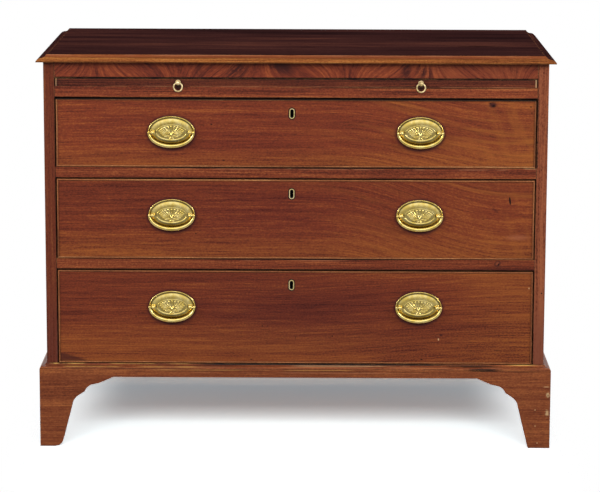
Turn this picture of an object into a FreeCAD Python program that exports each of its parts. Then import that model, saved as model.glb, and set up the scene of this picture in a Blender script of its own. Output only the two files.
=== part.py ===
import FreeCAD, Part
import os
import re
import Sketcher

# Driving sizes in millimetres
SIZES = {
    "carcase_width": 1011,
    "carcase_depth": 516,
    "side_thickness": 22,
    "stile_thickness": 5,
    "housing_depth": 6,
    "top_thickness": 14,
    "top_side_overhang": 13.5,
    "top_front_overhang": 18,
    "top_back_overhang": 6,
    "top_moulding_width": 22,
    "plinth_height": 161.5,
    "base_moulding_height": 10,
    "base_overhang": 14.5,
    "base_thickness": 22,
    "apron_depth": 16.5,
    "bracket_reach": 150,
    "worn_corner": 12,
    "back_bracket_width": 68,
    "foot_block_width": 20,
    "foot_block_rise": 2,
    "bottom_opening": 194.5,
    "middle_opening": 165,
    "upper_opening": 141,
    "slide_opening": 17.5,
    "rail_height": 22,
    "rail_depth": 60,
    "frieze_height": 32,
    "frieze_thickness": 25,
    "dustboard_thickness": 10,
    "kicker_width": 30,
    "floor_thickness": 20,
    "back_thickness": 10,
    "back_rebate": 12,
    "stop_offset": 300,
    "stop_width": 40,
    "stop_length": 30,
    "stop_height": 4,
    "stop_gap": 0.3,
    "runner_gap": 0.3,
    "drawer_side_gap": 2.5,
    "drawer_top_gap": 2.5,
    "drawer_bottom_gap": 1,
    "drawer_rear_gap": 26,
    "drawer_front_thickness": 20,
    "drawer_side_thickness": 10,
    "drawer_back_thickness": 10,
    "drawer_side_drop": 4,
    "drawer_back_drop": 8,
    "drawer_panel_thickness": 8,
    "drawer_panel_rise": 9,
    "drawer_groove_depth": 5,
    "dovetail_length": 10,
    "bead_width": 3,
    "bead_inset": 9.5,
    "bead_projection": 2.5,
    "lock_offset": -8,
    "lock_width": 50,
    "lock_height": 44,
    "lock_depth": 10,
    "lock_plate_margin": 6,
    "lock_plate_thickness": 1.5,
    "bolt_width": 22,
    "bolt_thickness": 4,
    "bolt_length": 30,
    "bolt_inset": 2,
    "bolt_throw": 9,
    "bolt_gap": 0.2,
    "mortise_gap": 1.5,
    "keyhole_drop": 29,
    "keyhole_width": 5.3,
    "keyhole_height": 16,
    "keyhole_sink": 3,
    "escutcheon_width": 11.3,
    "escutcheon_height": 21.4,
    "escutcheon_depth": 4,
    "pull_offset": 250,
    "upper_pull_rise": 70.5,
    "middle_pull_rise": 89,
    "bottom_pull_rise": 117,
    "plate_width": 94,
    "plate_height": 64,
    "plate_projection": 3.2,
    "post_spacing": 76,
    "post_reach": 8.5,
    "post_radius": 2.2,
    "post_head_radius": 4,
    "post_hole_gap": 0.3,
    "post_end": 3,
    "nut_radius": 7,
    "nut_thickness": 4,
    "nut_gap": 0.15,
    "bail_reach": 45,
    "bail_drop": 28,
    "bail_end_radius": 2.2,
    "bail_middle_radius": 3.8,
    "bail_knuckle_radius": 2.8,
    "bail_pin_radius": 1.5,
    "bail_pin_gap": 0.06,
    "bail_pin_overrun": 0.8,
    "slide_side_gap": 1.5,
    "slide_thickness": 16,
    "slide_rear_gap": 66,
    "slide_lip": 6,
    "cleat_width": 60,
    "cleat_tongue": 8,
    "cleat_tongue_thickness": 6,
    "left_knob_offset": 236,
    "right_knob_offset": 250,
    "knob_radius": 4.4,
    "knob_reach": 5.6,
    "knob_collar_radius": 5.5,
    "knob_collar_thickness": 1.4,
    "knob_shank_radius": 2,
    "knob_shank_length": 14,
    "knob_eye_radius": 2.6,
    "ring_radius": 8.5,
    "ring_wire_radius": 1.5,
    "cut_overrun": 5,
}

# Planes and lengths that follow from the sizes
PLANES = {
    "top_depth": "carcase_depth + top_front_overhang + top_back_overhang",
    "tip_y": "-top_depth / 2",
    "rear_y": "top_depth / 2",
    "front_y": "tip_y + top_front_overhang",
    "back_y": "front_y + carcase_depth",
    "stile_y": "front_y + stile_thickness",
    "rail_y": "front_y + rail_depth",
    "frieze_y": "front_y + frieze_thickness",
    "panel_y": "back_y - back_thickness",
    "outer_x": "carcase_width / 2",
    "inner_x": "outer_x - side_thickness",
    "housing_x": "inner_x + housing_depth",
    "rebate_x": "inner_x + back_rebate",
    "kicker_x": "inner_x - kicker_width",
    "top_x": "outer_x + top_side_overhang",
    "base_x": "outer_x + base_overhang",
    "base_y": "front_y - base_overhang",
    "base_inner_x": "base_x - base_thickness",
    "base_inner_y": "base_y + base_thickness",
    "arch_height": "plinth_height - apron_depth",
    "floor_z": "plinth_height + base_moulding_height",
    "carcase_z": "floor_z - floor_thickness",
    "bottom_low": "floor_z",
    "bottom_high": "bottom_low + bottom_opening",
    "middle_low": "bottom_high + rail_height",
    "middle_high": "middle_low + middle_opening",
    "upper_low": "middle_high + rail_height",
    "upper_high": "upper_low + upper_opening",
    "slide_low": "upper_high + rail_height",
    "slide_high": "slide_low + slide_opening",
    "under_top": "slide_high + frieze_height",
    "top_z": "under_top + top_thickness",
    "drawer_x": "inner_x - drawer_side_gap",
    "drawer_inner_x": "drawer_x - drawer_side_thickness",
    "drawer_panel_x": "drawer_inner_x + drawer_groove_depth",
    "drawer_front_y": "front_y + drawer_front_thickness",
    "drawer_end_y": "panel_y - drawer_rear_gap",
    "drawer_back_y": "drawer_end_y - drawer_back_thickness",
    "bead_y": "front_y + bead_inset",
    "nose_y": "front_y - bead_projection",
    "tail_y": "max(drawer_front_y - dovetail_length; bead_y)",
    "lock_y": "max(drawer_front_y - lock_depth; bead_y)",
    "bolt_rear_y": "drawer_front_y - bolt_inset",
    "bolt_front_y": "bolt_rear_y - bolt_thickness",
    "pivot_y": "front_y - post_reach",
    "slide_x": "inner_x - slide_side_gap",
    "cleat_x": "slide_x - cleat_width",
    "tongue_x": "cleat_x + cleat_tongue",
    "lip_y": "front_y + slide_lip",
    "slide_end_y": "panel_y - slide_rear_gap",
    "slide_base": "slide_low + runner_gap",
    "slide_face": "slide_base + slide_thickness",
    "slide_mid": "slide_base + slide_thickness / 2",
    "knob_y": "front_y - knob_reach",
}

# Shares of a moulding's width and height, with the bulge of the run to the next point
TOP_PROFILE_SHARES = [
    (0, 0, 0), (1, 0, 0), (1, 0.16, 0), (0.955, 0.2, -0.24), (0.55, 0.54, 0.29), (0.09, 1, 0), (0, 1, 0),
]
BASE_PROFILE_SHARES = [
    (0, 0, 0), (0.93, 0, 0), (0.93, 0.15, -0.3), (0.55, 0.52, 0.24), (0.2, 0.88, 0), (0.2, 1, 0), (0, 1, 0),
]

# Shares of a bracket's reach and of the arch's height, with the bulge of the run to the next point
BRACKET_SHARES = [
    (0.437, 0.586, -0.2), (0.52, 0.731, 0), (0.613, 0.793, -0.27), (0.733, 0.897, 0),
    (0.813, 0.914, 0), (1, 1, 0),
]
FOOT_SHARE = 0.287
WORN_RISE_SHARE = 0.06
WORN_BULGE_SHARE = 0.35
BEAD_BULGE_SHARE = 0.8
BACK_BRACKET_SHARES = [(0, 0, 0), (0.42, 0, 0), (0.62, 0.5, 0.2), (1, 0.82, 0), (1, 1, 0), (0, 1, 0)]

# Shares of the plate's half height taken off its outline, and of its projection
PLATE_SHARES = [
    (0, 0), (0, 0.38), (0.05, 0.75), (0.11, 0.5), (0.16, 0.3), (0.32, 0.55), (0.48, 1), (0.53, 0.8),
]

# Shares of the spacing of the dovetails
TAIL_ROOT_SHARE = 0.34
TAIL_END_SHARE = 0.43
PIN_ROOT_SHARE = 0.16
PIN_END_SHARE = 0.07

BACKBOARD_COUNT = 4
SHALLOW_TAIL_COUNT = 3
DEEP_TAIL_COUNT = 4
DRAWER_TAILS = {"upper": SHALLOW_TAIL_COUNT, "middle": DEEP_TAIL_COUNT, "bottom": DEEP_TAIL_COUNT}

WORD = re.compile(r"[a-z_]+")
ALONG_X = FreeCAD.Rotation(FreeCAD.Vector(0, 1, 0), 90)
ALONG_Y = FreeCAD.Rotation(FreeCAD.Vector(1, 0, 0), -90)
FACING_FRONT = FreeCAD.Rotation(FreeCAD.Vector(1, 0, 0), 90)

doc = FreeCAD.newDocument("chest")
sheet = doc.addObject("Spreadsheet::Sheet", "Sizes")
for row, (alias, value) in enumerate(SIZES.items(), start=1):
    sheet.set(f"A{row}", alias)
    sheet.set(f"B{row}", str(value))
    sheet.setAlias(f"B{row}", alias)
doc.recompute()

pieces = {}


def expand(text):
    """Write an expression out in cells of the sheet."""
    def cell(match):
        word = match.group(0)
        if word in PLANES:
            return "(" + expand(PLANES[word]) + ")"
        if word in SIZES:
            return "Sizes." + word
        return word
    return WORD.sub(cell, text)


def number(text):
    """The present value of an expression."""
    return float(sheet.evalExpression(expand(text)))


def bind(made, prop, text):
    made.setExpression(prop, expand(text))


def place(made, point, turn=None):
    if turn:
        made.Placement = FreeCAD.Placement(FreeCAD.Vector(), turn)
    for axis, text in zip("xyz", point):
        bind(made, f"Placement.Base.{axis}", text)


def keep(made, label=None):
    """Mark an object as a sub-part that is written out."""
    made.Label = label or made.Name
    pieces[made.Label] = made
    return made


# Plain solids

def board(name, x, y, z):
    """A box between two planes on each axis."""
    made = doc.addObject("Part::Box", name)
    for prop, (low, high) in zip(("Length", "Width", "Height"), (x, y, z)):
        bind(made, prop, f"({high}) - ({low})")
    place(made, (x[0], y[0], z[0]))
    return made


def rod(name, start, radius, length, turn):
    made = doc.addObject("Part::Cylinder", name)
    bind(made, "Radius", radius)
    bind(made, "Height", length)
    place(made, start, turn)
    return made


def ball(name, centre, radius):
    made = doc.addObject("Part::Sphere", name)
    bind(made, "Radius", radius)
    place(made, centre)
    return made


def wedge(name, x, y, middle, front_half, back_half):
    """A dovetail: its height changes from the front plane to the back plane."""
    made = doc.addObject("Part::Wedge", name)
    limits = {
        "Xmin": x[0], "Xmax": x[1], "X2min": x[0], "X2max": x[1], "Ymin": y[0], "Ymax": y[1],
        "Zmin": f"({middle}) - {front_half}", "Zmax": f"({middle}) + {front_half}",
        "Z2min": f"({middle}) - {back_half}", "Z2max": f"({middle}) + {back_half}",
    }
    for prop, text in limits.items():
        bind(made, prop, text)
    return made


def fused(name, *shapes):
    made = doc.addObject("Part::MultiFuse", name)
    made.Shapes = list(shapes)
    made.Refine = True
    return made


def cut(name, base, *tools):
    made = doc.addObject("Part::Cut", name)
    made.Base = base
    made.Tool = tools[0] if len(tools) == 1 else fused(name + "_tools", *tools)
    made.Refine = True
    return made


def grouped(name, *shapes):
    made = doc.addObject("Part::Compound", name)
    made.Links = list(shapes)
    return made


def mirrored(name, source, height=None):
    """A copy on the other side of the middle plane, or of a level plane."""
    made = doc.addObject("Part::Mirroring", name)
    made.Source = source
    made.Normal = FreeCAD.Vector(0, 0, 1) if height else FreeCAD.Vector(1, 0, 0)
    if height:
        bind(made, "Base.z", height)
    return made


def stadium(name, x, z, width, height, y):
    """An upright slot-shaped solid that runs from front to back."""
    straight = f"({height} - {width}) / 2"
    length = f"({y[1]}) - ({y[0]})"
    middle = board(
        name + "_middle", (f"{x} - {width} / 2", f"{x} + {width} / 2"), y,
        (f"{z} - {straight}", f"{z} + {straight}"))
    crown = rod(name + "_crown", (x, y[0], f"{z} + {straight}"), f"{width} / 2", length, ALONG_Y)
    heel = rod(name + "_heel", (x, y[0], f"{z} - {straight}"), f"{width} / 2", length, ALONG_Y)
    return fused(name, middle, crown, heel)


# Sketched solids

def draw_loop(sketch, loop):
    """A closed outline of lines and arcs; each corner is tied to the sheet."""
    first = sketch.GeometryCount
    corners = [FreeCAD.Vector(number(x), number(y), 0) for x, y, bulge in loop]
    ends = []
    for index, (x, y, bulge) in enumerate(loop):
        here = corners[index]
        there = corners[(index + 1) % len(loop)]
        if not bulge:
            sketch.addGeometry(Part.LineSegment(here, there))
            ends.append((1, 2))
            continue
        chord = there - here
        side = FreeCAD.Vector(chord.y, -chord.x, 0)
        bow = (here + there) / 2 + side * (bulge / 2)
        through = Part.Circle(here, bow, there)
        circle = Part.Circle(through.Center, FreeCAD.Vector(0, 0, 1), through.Radius)
        start, stop = (here, there) if bulge > 0 else (there, here)
        sketch.addGeometry(Part.ArcOfCircle(circle, circle.parameter(start), circle.parameter(stop)))
        ends.append((1, 2) if bulge > 0 else (2, 1))
    for index in range(len(loop)):
        after = (index + 1) % len(loop)
        sketch.addConstraint(
            Sketcher.Constraint("Coincident", first + index, ends[index][1], first + after, ends[after][0]))
    for index, (x, y, bulge) in enumerate(loop):
        for kind, text, value in (("DistanceX", x, corners[index].x), ("DistanceY", y, corners[index].y)):
            made = sketch.addConstraint(
                Sketcher.Constraint(kind, -1, 1, first + index, ends[index][0], value))
            bind(sketch, f"Constraints[{made}]", text)
        if bulge:
            next_x, next_y, _ = loop[(index + 1) % len(loop)]
            chord = f"sqrt((({next_x}) - ({x}))^2 + (({next_y}) - ({y}))^2)"
            radius = f"{chord} * {(1 + bulge * bulge) / (4 * abs(bulge))}"
            made = sketch.addConstraint(Sketcher.Constraint("Radius", first + index, number(radius)))
            bind(sketch, f"Constraints[{made}]", radius)


def outline(body, name, plane, loops, offset=None):
    sketch = body.newObject("Sketcher::SketchObject", name)
    planes = {feature.Role: feature for feature in body.Origin.OriginFeatures if hasattr(feature, "Role")}
    sketch.AttachmentSupport = (planes[plane + "_Plane"], [""])
    sketch.MapMode = "FlatFace"
    if offset:
        bind(sketch, "AttachmentOffset.Base.z", offset)
    for loop in loops:
        draw_loop(sketch, loop)
    return sketch


def pad(body, sketch, length, both_ways=False, backwards=False):
    made = body.newObject("PartDesign::Pad", sketch.Name + "_pad")
    made.Profile = sketch
    bind(made, "Length", length)
    made.Reversed = backwards
    if both_ways:
        made.SideType = "Symmetric"
    return made


def pocket(body, sketch):
    made = body.newObject("PartDesign::Pocket", sketch.Name + "_pocket")
    made.Profile = sketch
    made.Type = "ThroughAll"
    made.SideType = "Symmetric"
    return made


def mouldings(name, half, tip, rear, width, low, height, shares):
    """A front strip and two side strips, mitred at the front corners."""
    def profile(edge):
        return [
            (f"{edge} + {1 - out} * {width}", f"{low} + {up} * {height}", bulge) for out, up, bulge in shares]

    near = (f"-{half} - cut_overrun", f"{tip} - cut_overrun")
    far = (f"-{half} + {width} + cut_overrun", f"{tip} + {width} + cut_overrun")
    front = doc.addObject("PartDesign::Body", name + "_front")
    strip = outline(front, name + "_front_profile", "YZ", [profile(tip)])
    pad(front, strip, f"2 * {half}", both_ways=True)
    left_end = [(*near, 0), (*far, 0), (near[0], far[1], 0)]
    right_end = [(f"-({x})", y, bulge) for x, y, bulge in left_end]
    pocket(front, outline(front, name + "_front_mitres", "XY", [left_end, right_end]))
    left = doc.addObject("PartDesign::Body", name + "_left")
    strip = outline(left, name + "_left_profile", "XZ", [profile(f"-{half}")], offset=f"-({tip})")
    pad(left, strip, f"{rear} - {tip}", backwards=True)
    pocket(left, outline(left, name + "_left_mitre", "XY", [[(*near, 0), (far[0], near[1], 0), (*far, 0)]]))
    keep(grouped(name, front, left, mirrored(name + "_right", left)))


def arch(start, stop, worn):
    """The outline cut out under an apron between two bracket feet."""
    def rising(edge, sign, worn_foot):
        run = []
        toe = f"{edge} + {sign} * {FOOT_SHARE} * bracket_reach"
        if worn_foot:
            run.append((f"{toe} - {sign} * worn_corner", "-cut_overrun", 0))
            run.append((
                f"{toe} - {sign} * worn_corner", f"{WORN_RISE_SHARE} * worn_corner", WORN_BULGE_SHARE))
            run.append((f"{toe} + {sign} * {FOOT_SHARE} * worn_corner", "worn_corner", 0))
        else:
            run.append((toe, "-cut_overrun", 0))
        for along, up, bulge in BRACKET_SHARES:
            run.append((f"{edge} + {sign} * {along} * bracket_reach", f"{up} * arch_height", bulge))
        return run

    going_up = rising(start, "1", worn)
    coming_down = rising(stop, "-1", False)
    bulges = [bulge for x, y, bulge in coming_down]
    returned = [(x, y, bulges[index - 1] if index else 0) for index, (x, y, bulge) in enumerate(coming_down)]
    return going_up + returned[::-1]


# The carcase

rails = {
    "slide_rail": ("upper_high", "slide_low"),
    "upper_rail": ("middle_high", "upper_low"),
    "lower_rail": ("bottom_high", "middle_low"),
}


def cross_piece(name, y, z, mortise=False):
    """A board between the stiles with its tongues housed in the sides."""
    nose = board(name + "_nose", ("-inner_x", "inner_x"), ("front_y", "stile_y"), z)
    core = board(name + "_core", ("-housing_x", "housing_x"), ("stile_y", y), z)
    if not mortise:
        return keep(fused(name, nose, core))
    slot = board(
        name + "_mortise",
        ("lock_offset - bolt_width / 2 - mortise_gap", "lock_offset + bolt_width / 2 + mortise_gap"),
        ("bolt_front_y - mortise_gap", "bolt_rear_y + mortise_gap"),
        (f"{z[0]} - cut_overrun", f"{z[0]} + bolt_throw + mortise_gap"))
    return keep(cut(name, fused(name + "_blank", nose, core), slot))


def build_carcase():
    blank = board("side_blank", ("-outer_x", "-inner_x"), ("stile_y", "back_y"), ("carcase_z", "under_top"))
    housing = ("-housing_x", "-inner_x + cut_overrun")
    tools = [
        board("side_" + name, housing, ("stile_y - cut_overrun", "back_y + cut_overrun"), span)
        for name, span in rails.items()]
    tools.append(board(
        "side_frieze", housing, ("stile_y - cut_overrun", "frieze_y"),
        ("slide_high", "under_top + cut_overrun")))
    tools.append(board(
        "side_floor", housing, ("stile_y - cut_overrun", "back_y + cut_overrun"),
        ("carcase_z - cut_overrun", "floor_z")))
    tools.append(board(
        "side_rebate", ("-rebate_x", "-inner_x + cut_overrun"), ("panel_y", "back_y + cut_overrun"),
        ("carcase_z - cut_overrun", "under_top + cut_overrun")))
    side = keep(cut("side_left", blank, *tools))
    keep(mirrored("side_right", side))

    stile = board("stile_left", ("-outer_x", "-inner_x"), ("front_y", "stile_y"), ("carcase_z", "under_top"))
    keep(grouped("stiles", stile, mirrored("stile_right", stile)))

    for name, span in rails.items():
        cross_piece(name, "rail_y", span, mortise=True)
    cross_piece("frieze_rail", "frieze_y", ("slide_high", "under_top"))
    cross_piece("carcase_floor", "panel_y", ("carcase_z", "floor_z"))

    dustboards = []
    kickers = []
    for name, (low, high) in rails.items():
        run = ("rail_y", "panel_y")
        dustboards.append(board(
            "dustboard_" + name, ("-housing_x", "housing_x"), run, (f"{high} - dustboard_thickness", high)))
        kicker = board(
            "kicker_" + name, ("-housing_x", "-kicker_x"), run, (low, f"{high} - dustboard_thickness"))
        kickers += [kicker, mirrored("kicker_right_" + name, kicker)]
    bearer = board(
        "kicker_slide", ("-inner_x", "-kicker_x"), ("frieze_y", "panel_y"), ("slide_high", "under_top"))
    kickers += [bearer, mirrored("kicker_right_slide", bearer)]
    keep(grouped("dustboards", *dustboards))
    keep(grouped("kickers", *kickers))

    stops = []
    for name in DRAWER_TAILS:
        block = board(
            "stop_" + name, ("stop_offset - stop_width / 2", "stop_offset + stop_width / 2"),
            ("drawer_front_y + stop_gap", "drawer_front_y + stop_gap + stop_length"),
            (f"{name}_low", f"{name}_low + stop_height"))
        stops += [block, mirrored("stop_left_" + name, block)]
    keep(grouped("drawer_stops", *stops))

    panels = []
    for index in range(BACKBOARD_COUNT):
        level = "carcase_z + {} * (under_top - carcase_z) / {}"
        panels.append(board(
            f"backboard_{'abcd'[index]}", ("-rebate_x", "rebate_x"), ("panel_y", "back_y"),
            (level.format(index, BACKBOARD_COUNT), level.format(index + 1, BACKBOARD_COUNT))))
    keep(grouped("backboards", *panels))

    keep(board(
        "top_board", ("-top_x + top_moulding_width", "top_x - top_moulding_width"),
        ("tip_y + top_moulding_width", "rear_y"), ("under_top", "top_z")))
    mouldings(
        "top_mouldings", "top_x", "tip_y", "rear_y", "top_moulding_width", "under_top", "top_thickness",
        TOP_PROFILE_SHARES)


# The base with its bracket feet

def build_base():
    front = doc.addObject("PartDesign::Body", "base_front")
    plan = outline(front, "base_front_plan", "XY", [[
        ("-base_x", "base_y", 0), ("base_x", "base_y", 0),
        ("base_inner_x", "base_inner_y", 0), ("-base_inner_x", "base_inner_y", 0)]])
    pad(front, plan, "plinth_height")
    pocket(front, outline(front, "base_front_arch", "XZ", [arch("-base_x", "base_x", True)]))
    deep = "max(base_inner_y; front_y) + cut_overrun"
    pocket(front, outline(front, "base_front_rebate", "YZ", [[
        ("front_y", "carcase_z", 0), (deep, "carcase_z", 0),
        (deep, "plinth_height + cut_overrun", 0), ("front_y", "plinth_height + cut_overrun", 0)]]))
    keep(front)

    left = doc.addObject("PartDesign::Body", "base_left")
    plan = outline(left, "base_left_plan", "XY", [[
        ("-base_x", "base_y", 0), ("-base_inner_x", "base_inner_y", 0),
        ("-base_inner_x", "back_y", 0), ("-base_x", "back_y", 0)]])
    pad(left, plan, "plinth_height")
    pocket(left, outline(left, "base_left_arch", "YZ", [arch("base_y", "back_y", False)]))
    deep = "-min(base_inner_x; outer_x) + cut_overrun"
    pocket(left, outline(left, "base_left_rebate", "XZ", [[
        ("-outer_x", "carcase_z", 0), (deep, "carcase_z", 0),
        (deep, "plinth_height + cut_overrun", 0), ("-outer_x", "plinth_height + cut_overrun", 0)]]))
    keep(left)
    keep(mirrored("base_right", left))
    mouldings(
        "base_mouldings", "base_x", "base_y", "back_y", "base_overhang", "plinth_height",
        "base_moulding_height", BASE_PROFILE_SHARES)

    bracket = doc.addObject("PartDesign::Body", "back_bracket_left")
    rise = "(carcase_z - foot_block_rise)"
    shape = [
        (f"-base_inner_x + {along} * back_bracket_width", f"foot_block_rise + {up} * {rise}", bulge)
        for along, up, bulge in BACK_BRACKET_SHARES]
    pad(bracket, outline(bracket, "back_bracket_shape", "XZ", [shape], offset="-back_y"), "base_thickness")
    level = ("foot_block_rise", "carcase_z")
    width = ("-base_inner_x", "-base_inner_x + foot_block_width")
    fore = board("foot_block_fore", width, ("base_inner_y", "base_inner_y + foot_block_width"), level)
    hind = board(
        "foot_block_hind", width,
        ("back_y - base_thickness - foot_block_width", "back_y - base_thickness"), level)
    blocks = [bracket, fore, hind]
    copies = [mirrored(block.Name + "_right", block) for block in blocks]
    keep(grouped("foot_blocks", *blocks, *copies))


# The drawers

def build_pulls(drawer, centre_z):
    """Two oval plates on posts, with a bail in each pair of posts."""
    plate_parts = []
    post_holes = []
    posts = []
    for side, sign in (("left", "-"), ("right", "")):
        x = f"{sign}pull_offset"
        tag = f"{drawer}_{side}"
        rings = []
        for index, (inset, up) in enumerate(PLATE_SHARES):
            ring = doc.addObject("Part::Ellipse", f"{tag}_plate_{'abcdefgh'[index]}")
            bind(ring, "MajorRadius", f"plate_width / 2 - {inset} * plate_height / 2")
            bind(ring, "MinorRadius", f"plate_height / 2 - {inset} * plate_height / 2")
            place(ring, (x, f"front_y - {up} * plate_projection", centre_z), FACING_FRONT)
            rings.append(ring)
        plate = doc.addObject("Part::Loft", tag + "_plate_blank")
        plate.Sections = rings
        plate.Solid = True
        plate.Ruled = True
        holes = []
        for end, way in (("near", "-"), ("far", "+")):
            post_x = f"{x} {way} post_spacing / 2"
            name = f"{tag}_{end}"
            holes.append(rod(
                name + "_hole", (post_x, "front_y - cut_overrun", centre_z), "post_radius + post_hole_gap",
                "drawer_front_thickness + 2 * cut_overrun", ALONG_Y))
            head = ball(name + "_head", (post_x, "pivot_y", centre_z), "post_head_radius")
            shank = rod(
                name + "_shank", (post_x, "pivot_y", centre_z), "post_radius",
                "post_reach + drawer_front_thickness + nut_thickness + post_end", ALONG_Y)
            eye = rod(
                name + "_eye", (f"{post_x} - 2 * post_head_radius", "pivot_y", centre_z),
                "bail_pin_radius + bail_pin_gap", "4 * post_head_radius", ALONG_X)
            posts.append(cut(name + "_post", fused(name + "_post_blank", head, shank), eye))
            nut = doc.addObject("Part::Prism", name + "_nut_blank")
            nut.Polygon = 6
            bind(nut, "Circumradius", "nut_radius")
            bind(nut, "Height", "nut_thickness")
            place(nut, (post_x, "drawer_front_y", centre_z), ALONG_Y)
            bore = rod(
                name + "_nut_bore", (post_x, "drawer_front_y - cut_overrun", centre_z),
                "post_radius + nut_gap", "nut_thickness + 2 * cut_overrun", ALONG_Y)
            posts.append(cut(name + "_nut", nut, bore))
        plate_parts.append(cut(tag + "_plate", plate, *holes))
        post_holes += holes
        build_bail(f"{drawer}_bail_{side}", x, centre_z)
    keep(grouped(drawer + "_pull_mounts", *plate_parts, *posts))
    return post_holes


def build_bail(name, x, centre_z):
    spine = doc.addObject("Part::Ellipse", name + "_spine")
    bind(spine, "MajorRadius", "bail_reach")
    bind(spine, "MinorRadius", "bail_drop")
    spine.Angle1 = 180
    spine.Angle2 = 360
    place(spine, (x, "pivot_y", centre_z), FACING_FRONT)
    sections = []
    stations = (
        ("start", f"{x} - bail_reach", centre_z, "bail_end_radius", None),
        ("middle", x, f"{centre_z} - bail_drop", "bail_middle_radius", ALONG_X),
        ("stop", f"{x} + bail_reach", centre_z, "bail_end_radius", None),
    )
    for tag, at_x, at_z, radius, turn in stations:
        ring = doc.addObject("Part::Circle", f"{name}_{tag}")
        bind(ring, "Radius", radius)
        place(ring, (at_x, "pivot_y", at_z), turn)
        sections.append(ring)
    bow = doc.addObject("Part::Sweep", name + "_bow")
    bow.Sections = sections
    bow.Spine = (spine, ["Edge1"])
    bow.Solid = True
    length = "bail_reach - post_spacing / 2 + post_head_radius + bail_pin_overrun"
    ends = []
    for tag, pin_x, end_x in (
            ("near", f"{x} - bail_reach", f"{x} - bail_reach"),
            ("far", f"{x} + bail_reach - ({length})", f"{x} + bail_reach")):
        ends.append(rod(
            f"{name}_pin_{tag}", (pin_x, "pivot_y", centre_z), "bail_pin_radius", length, ALONG_X))
        ends.append(ball(f"{name}_knuckle_{tag}", (end_x, "pivot_y", centre_z), "bail_knuckle_radius"))
    keep(fused(name, bow, *ends))


def build_lock(drawer, high):
    """The case let into the back of the front, and the bolt that rises from it."""
    key_z = f"{high} - keyhole_drop"
    lock_x = ("lock_offset - lock_width / 2", "lock_offset + lock_width / 2")
    key_slot = stadium(
        drawer + "_key_slot", "lock_offset", key_z, "keyhole_width", "keyhole_height",
        ("front_y - cut_overrun", "lock_y + keyhole_sink"))
    seat = stadium(
        drawer + "_seat", "lock_offset", key_z, "escutcheon_width", "escutcheon_height",
        ("front_y - cut_overrun", "front_y + escutcheon_depth"))
    rim = stadium(
        drawer + "_rim", "lock_offset", key_z, "escutcheon_width", "escutcheon_height",
        ("front_y", "front_y + escutcheon_depth"))
    keep(cut(drawer + "_escutcheon", rim, key_slot))
    case = board(
        drawer + "_lock_box", lock_x, ("lock_y", "drawer_front_y"), (f"{high} - lock_height", high))
    flange = board(
        drawer + "_lock_flange",
        (f"{lock_x[0]} - lock_plate_margin", f"{lock_x[1]} + lock_plate_margin"),
        ("drawer_front_y", "drawer_front_y + lock_plate_thickness"),
        (f"{high} - lock_height - lock_plate_margin", high))
    way = board(
        drawer + "_bolt_way",
        ("lock_offset - bolt_width / 2 - bolt_gap", "lock_offset + bolt_width / 2 + bolt_gap"),
        ("bolt_front_y - bolt_gap", "bolt_rear_y + bolt_gap"),
        (f"{high} - bolt_length - bolt_gap", f"{high} + cut_overrun"))
    keep(cut(drawer + "_lock_case", fused(drawer + "_lock_blank", case, flange), way, key_slot))
    keep(board(
        drawer + "_lock_bolt", ("lock_offset - bolt_width / 2", "lock_offset + bolt_width / 2"),
        ("bolt_front_y", "bolt_rear_y"), (f"{high} - bolt_length", high)))
    mortise = board(
        drawer + "_lock_mortise", lock_x, ("lock_y", "drawer_front_y + cut_overrun"),
        (f"{high} - lock_height", f"{high} + cut_overrun"))
    return [mortise, seat, key_slot]


def build_beads(drawer, low, high):
    """Four rounded strips let in round the face and mitred at the corners."""
    centre = f"(({low}) + ({high})) / 2"
    round_y = f"nose_y + {BEAD_BULGE_SHARE} * bead_width / 2"
    near = ("-drawer_x - cut_overrun", f"{high} + cut_overrun")
    far = ("-drawer_x + bead_width + cut_overrun", f"{high} - bead_width - cut_overrun")
    top = doc.addObject("PartDesign::Body", drawer + "_bead_top")
    strip = outline(top, drawer + "_bead_top_profile", "YZ", [[
        (round_y, high, BEAD_BULGE_SHARE), (round_y, f"{high} - bead_width", 0),
        ("bead_y", f"{high} - bead_width", 0), ("bead_y", high, 0)]])
    pad(top, strip, "2 * drawer_x", both_ways=True)
    left_end = [(*near, 0), (near[0], far[1], 0), (*far, 0)]
    right_end = [(f"-({x})", y, bulge) for x, y, bulge in left_end]
    pocket(top, outline(top, drawer + "_bead_top_mitres", "XZ", [left_end, right_end]))
    left = doc.addObject("PartDesign::Body", drawer + "_bead_left")
    strip = outline(left, drawer + "_bead_left_profile", "XY", [[
        ("-drawer_x", round_y, BEAD_BULGE_SHARE), ("-drawer_x + bead_width", round_y, 0),
        ("-drawer_x + bead_width", "bead_y", 0), ("-drawer_x", "bead_y", 0)]], offset=low)
    pad(left, strip, f"({high}) - ({low})")
    upper_end = [(*near, 0), (*far, 0), (far[0], near[1], 0)]
    lower_end = [(x, f"2 * {centre} - ({y})", bulge) for x, y, bulge in upper_end]
    pocket(left, outline(left, drawer + "_bead_left_mitres", "XZ", [upper_end, lower_end]))
    keep(grouped(
        drawer + "_cockbeads", top, mirrored(drawer + "_bead_bottom", top, height=centre), left,
        mirrored(drawer + "_bead_right", left)))


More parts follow.
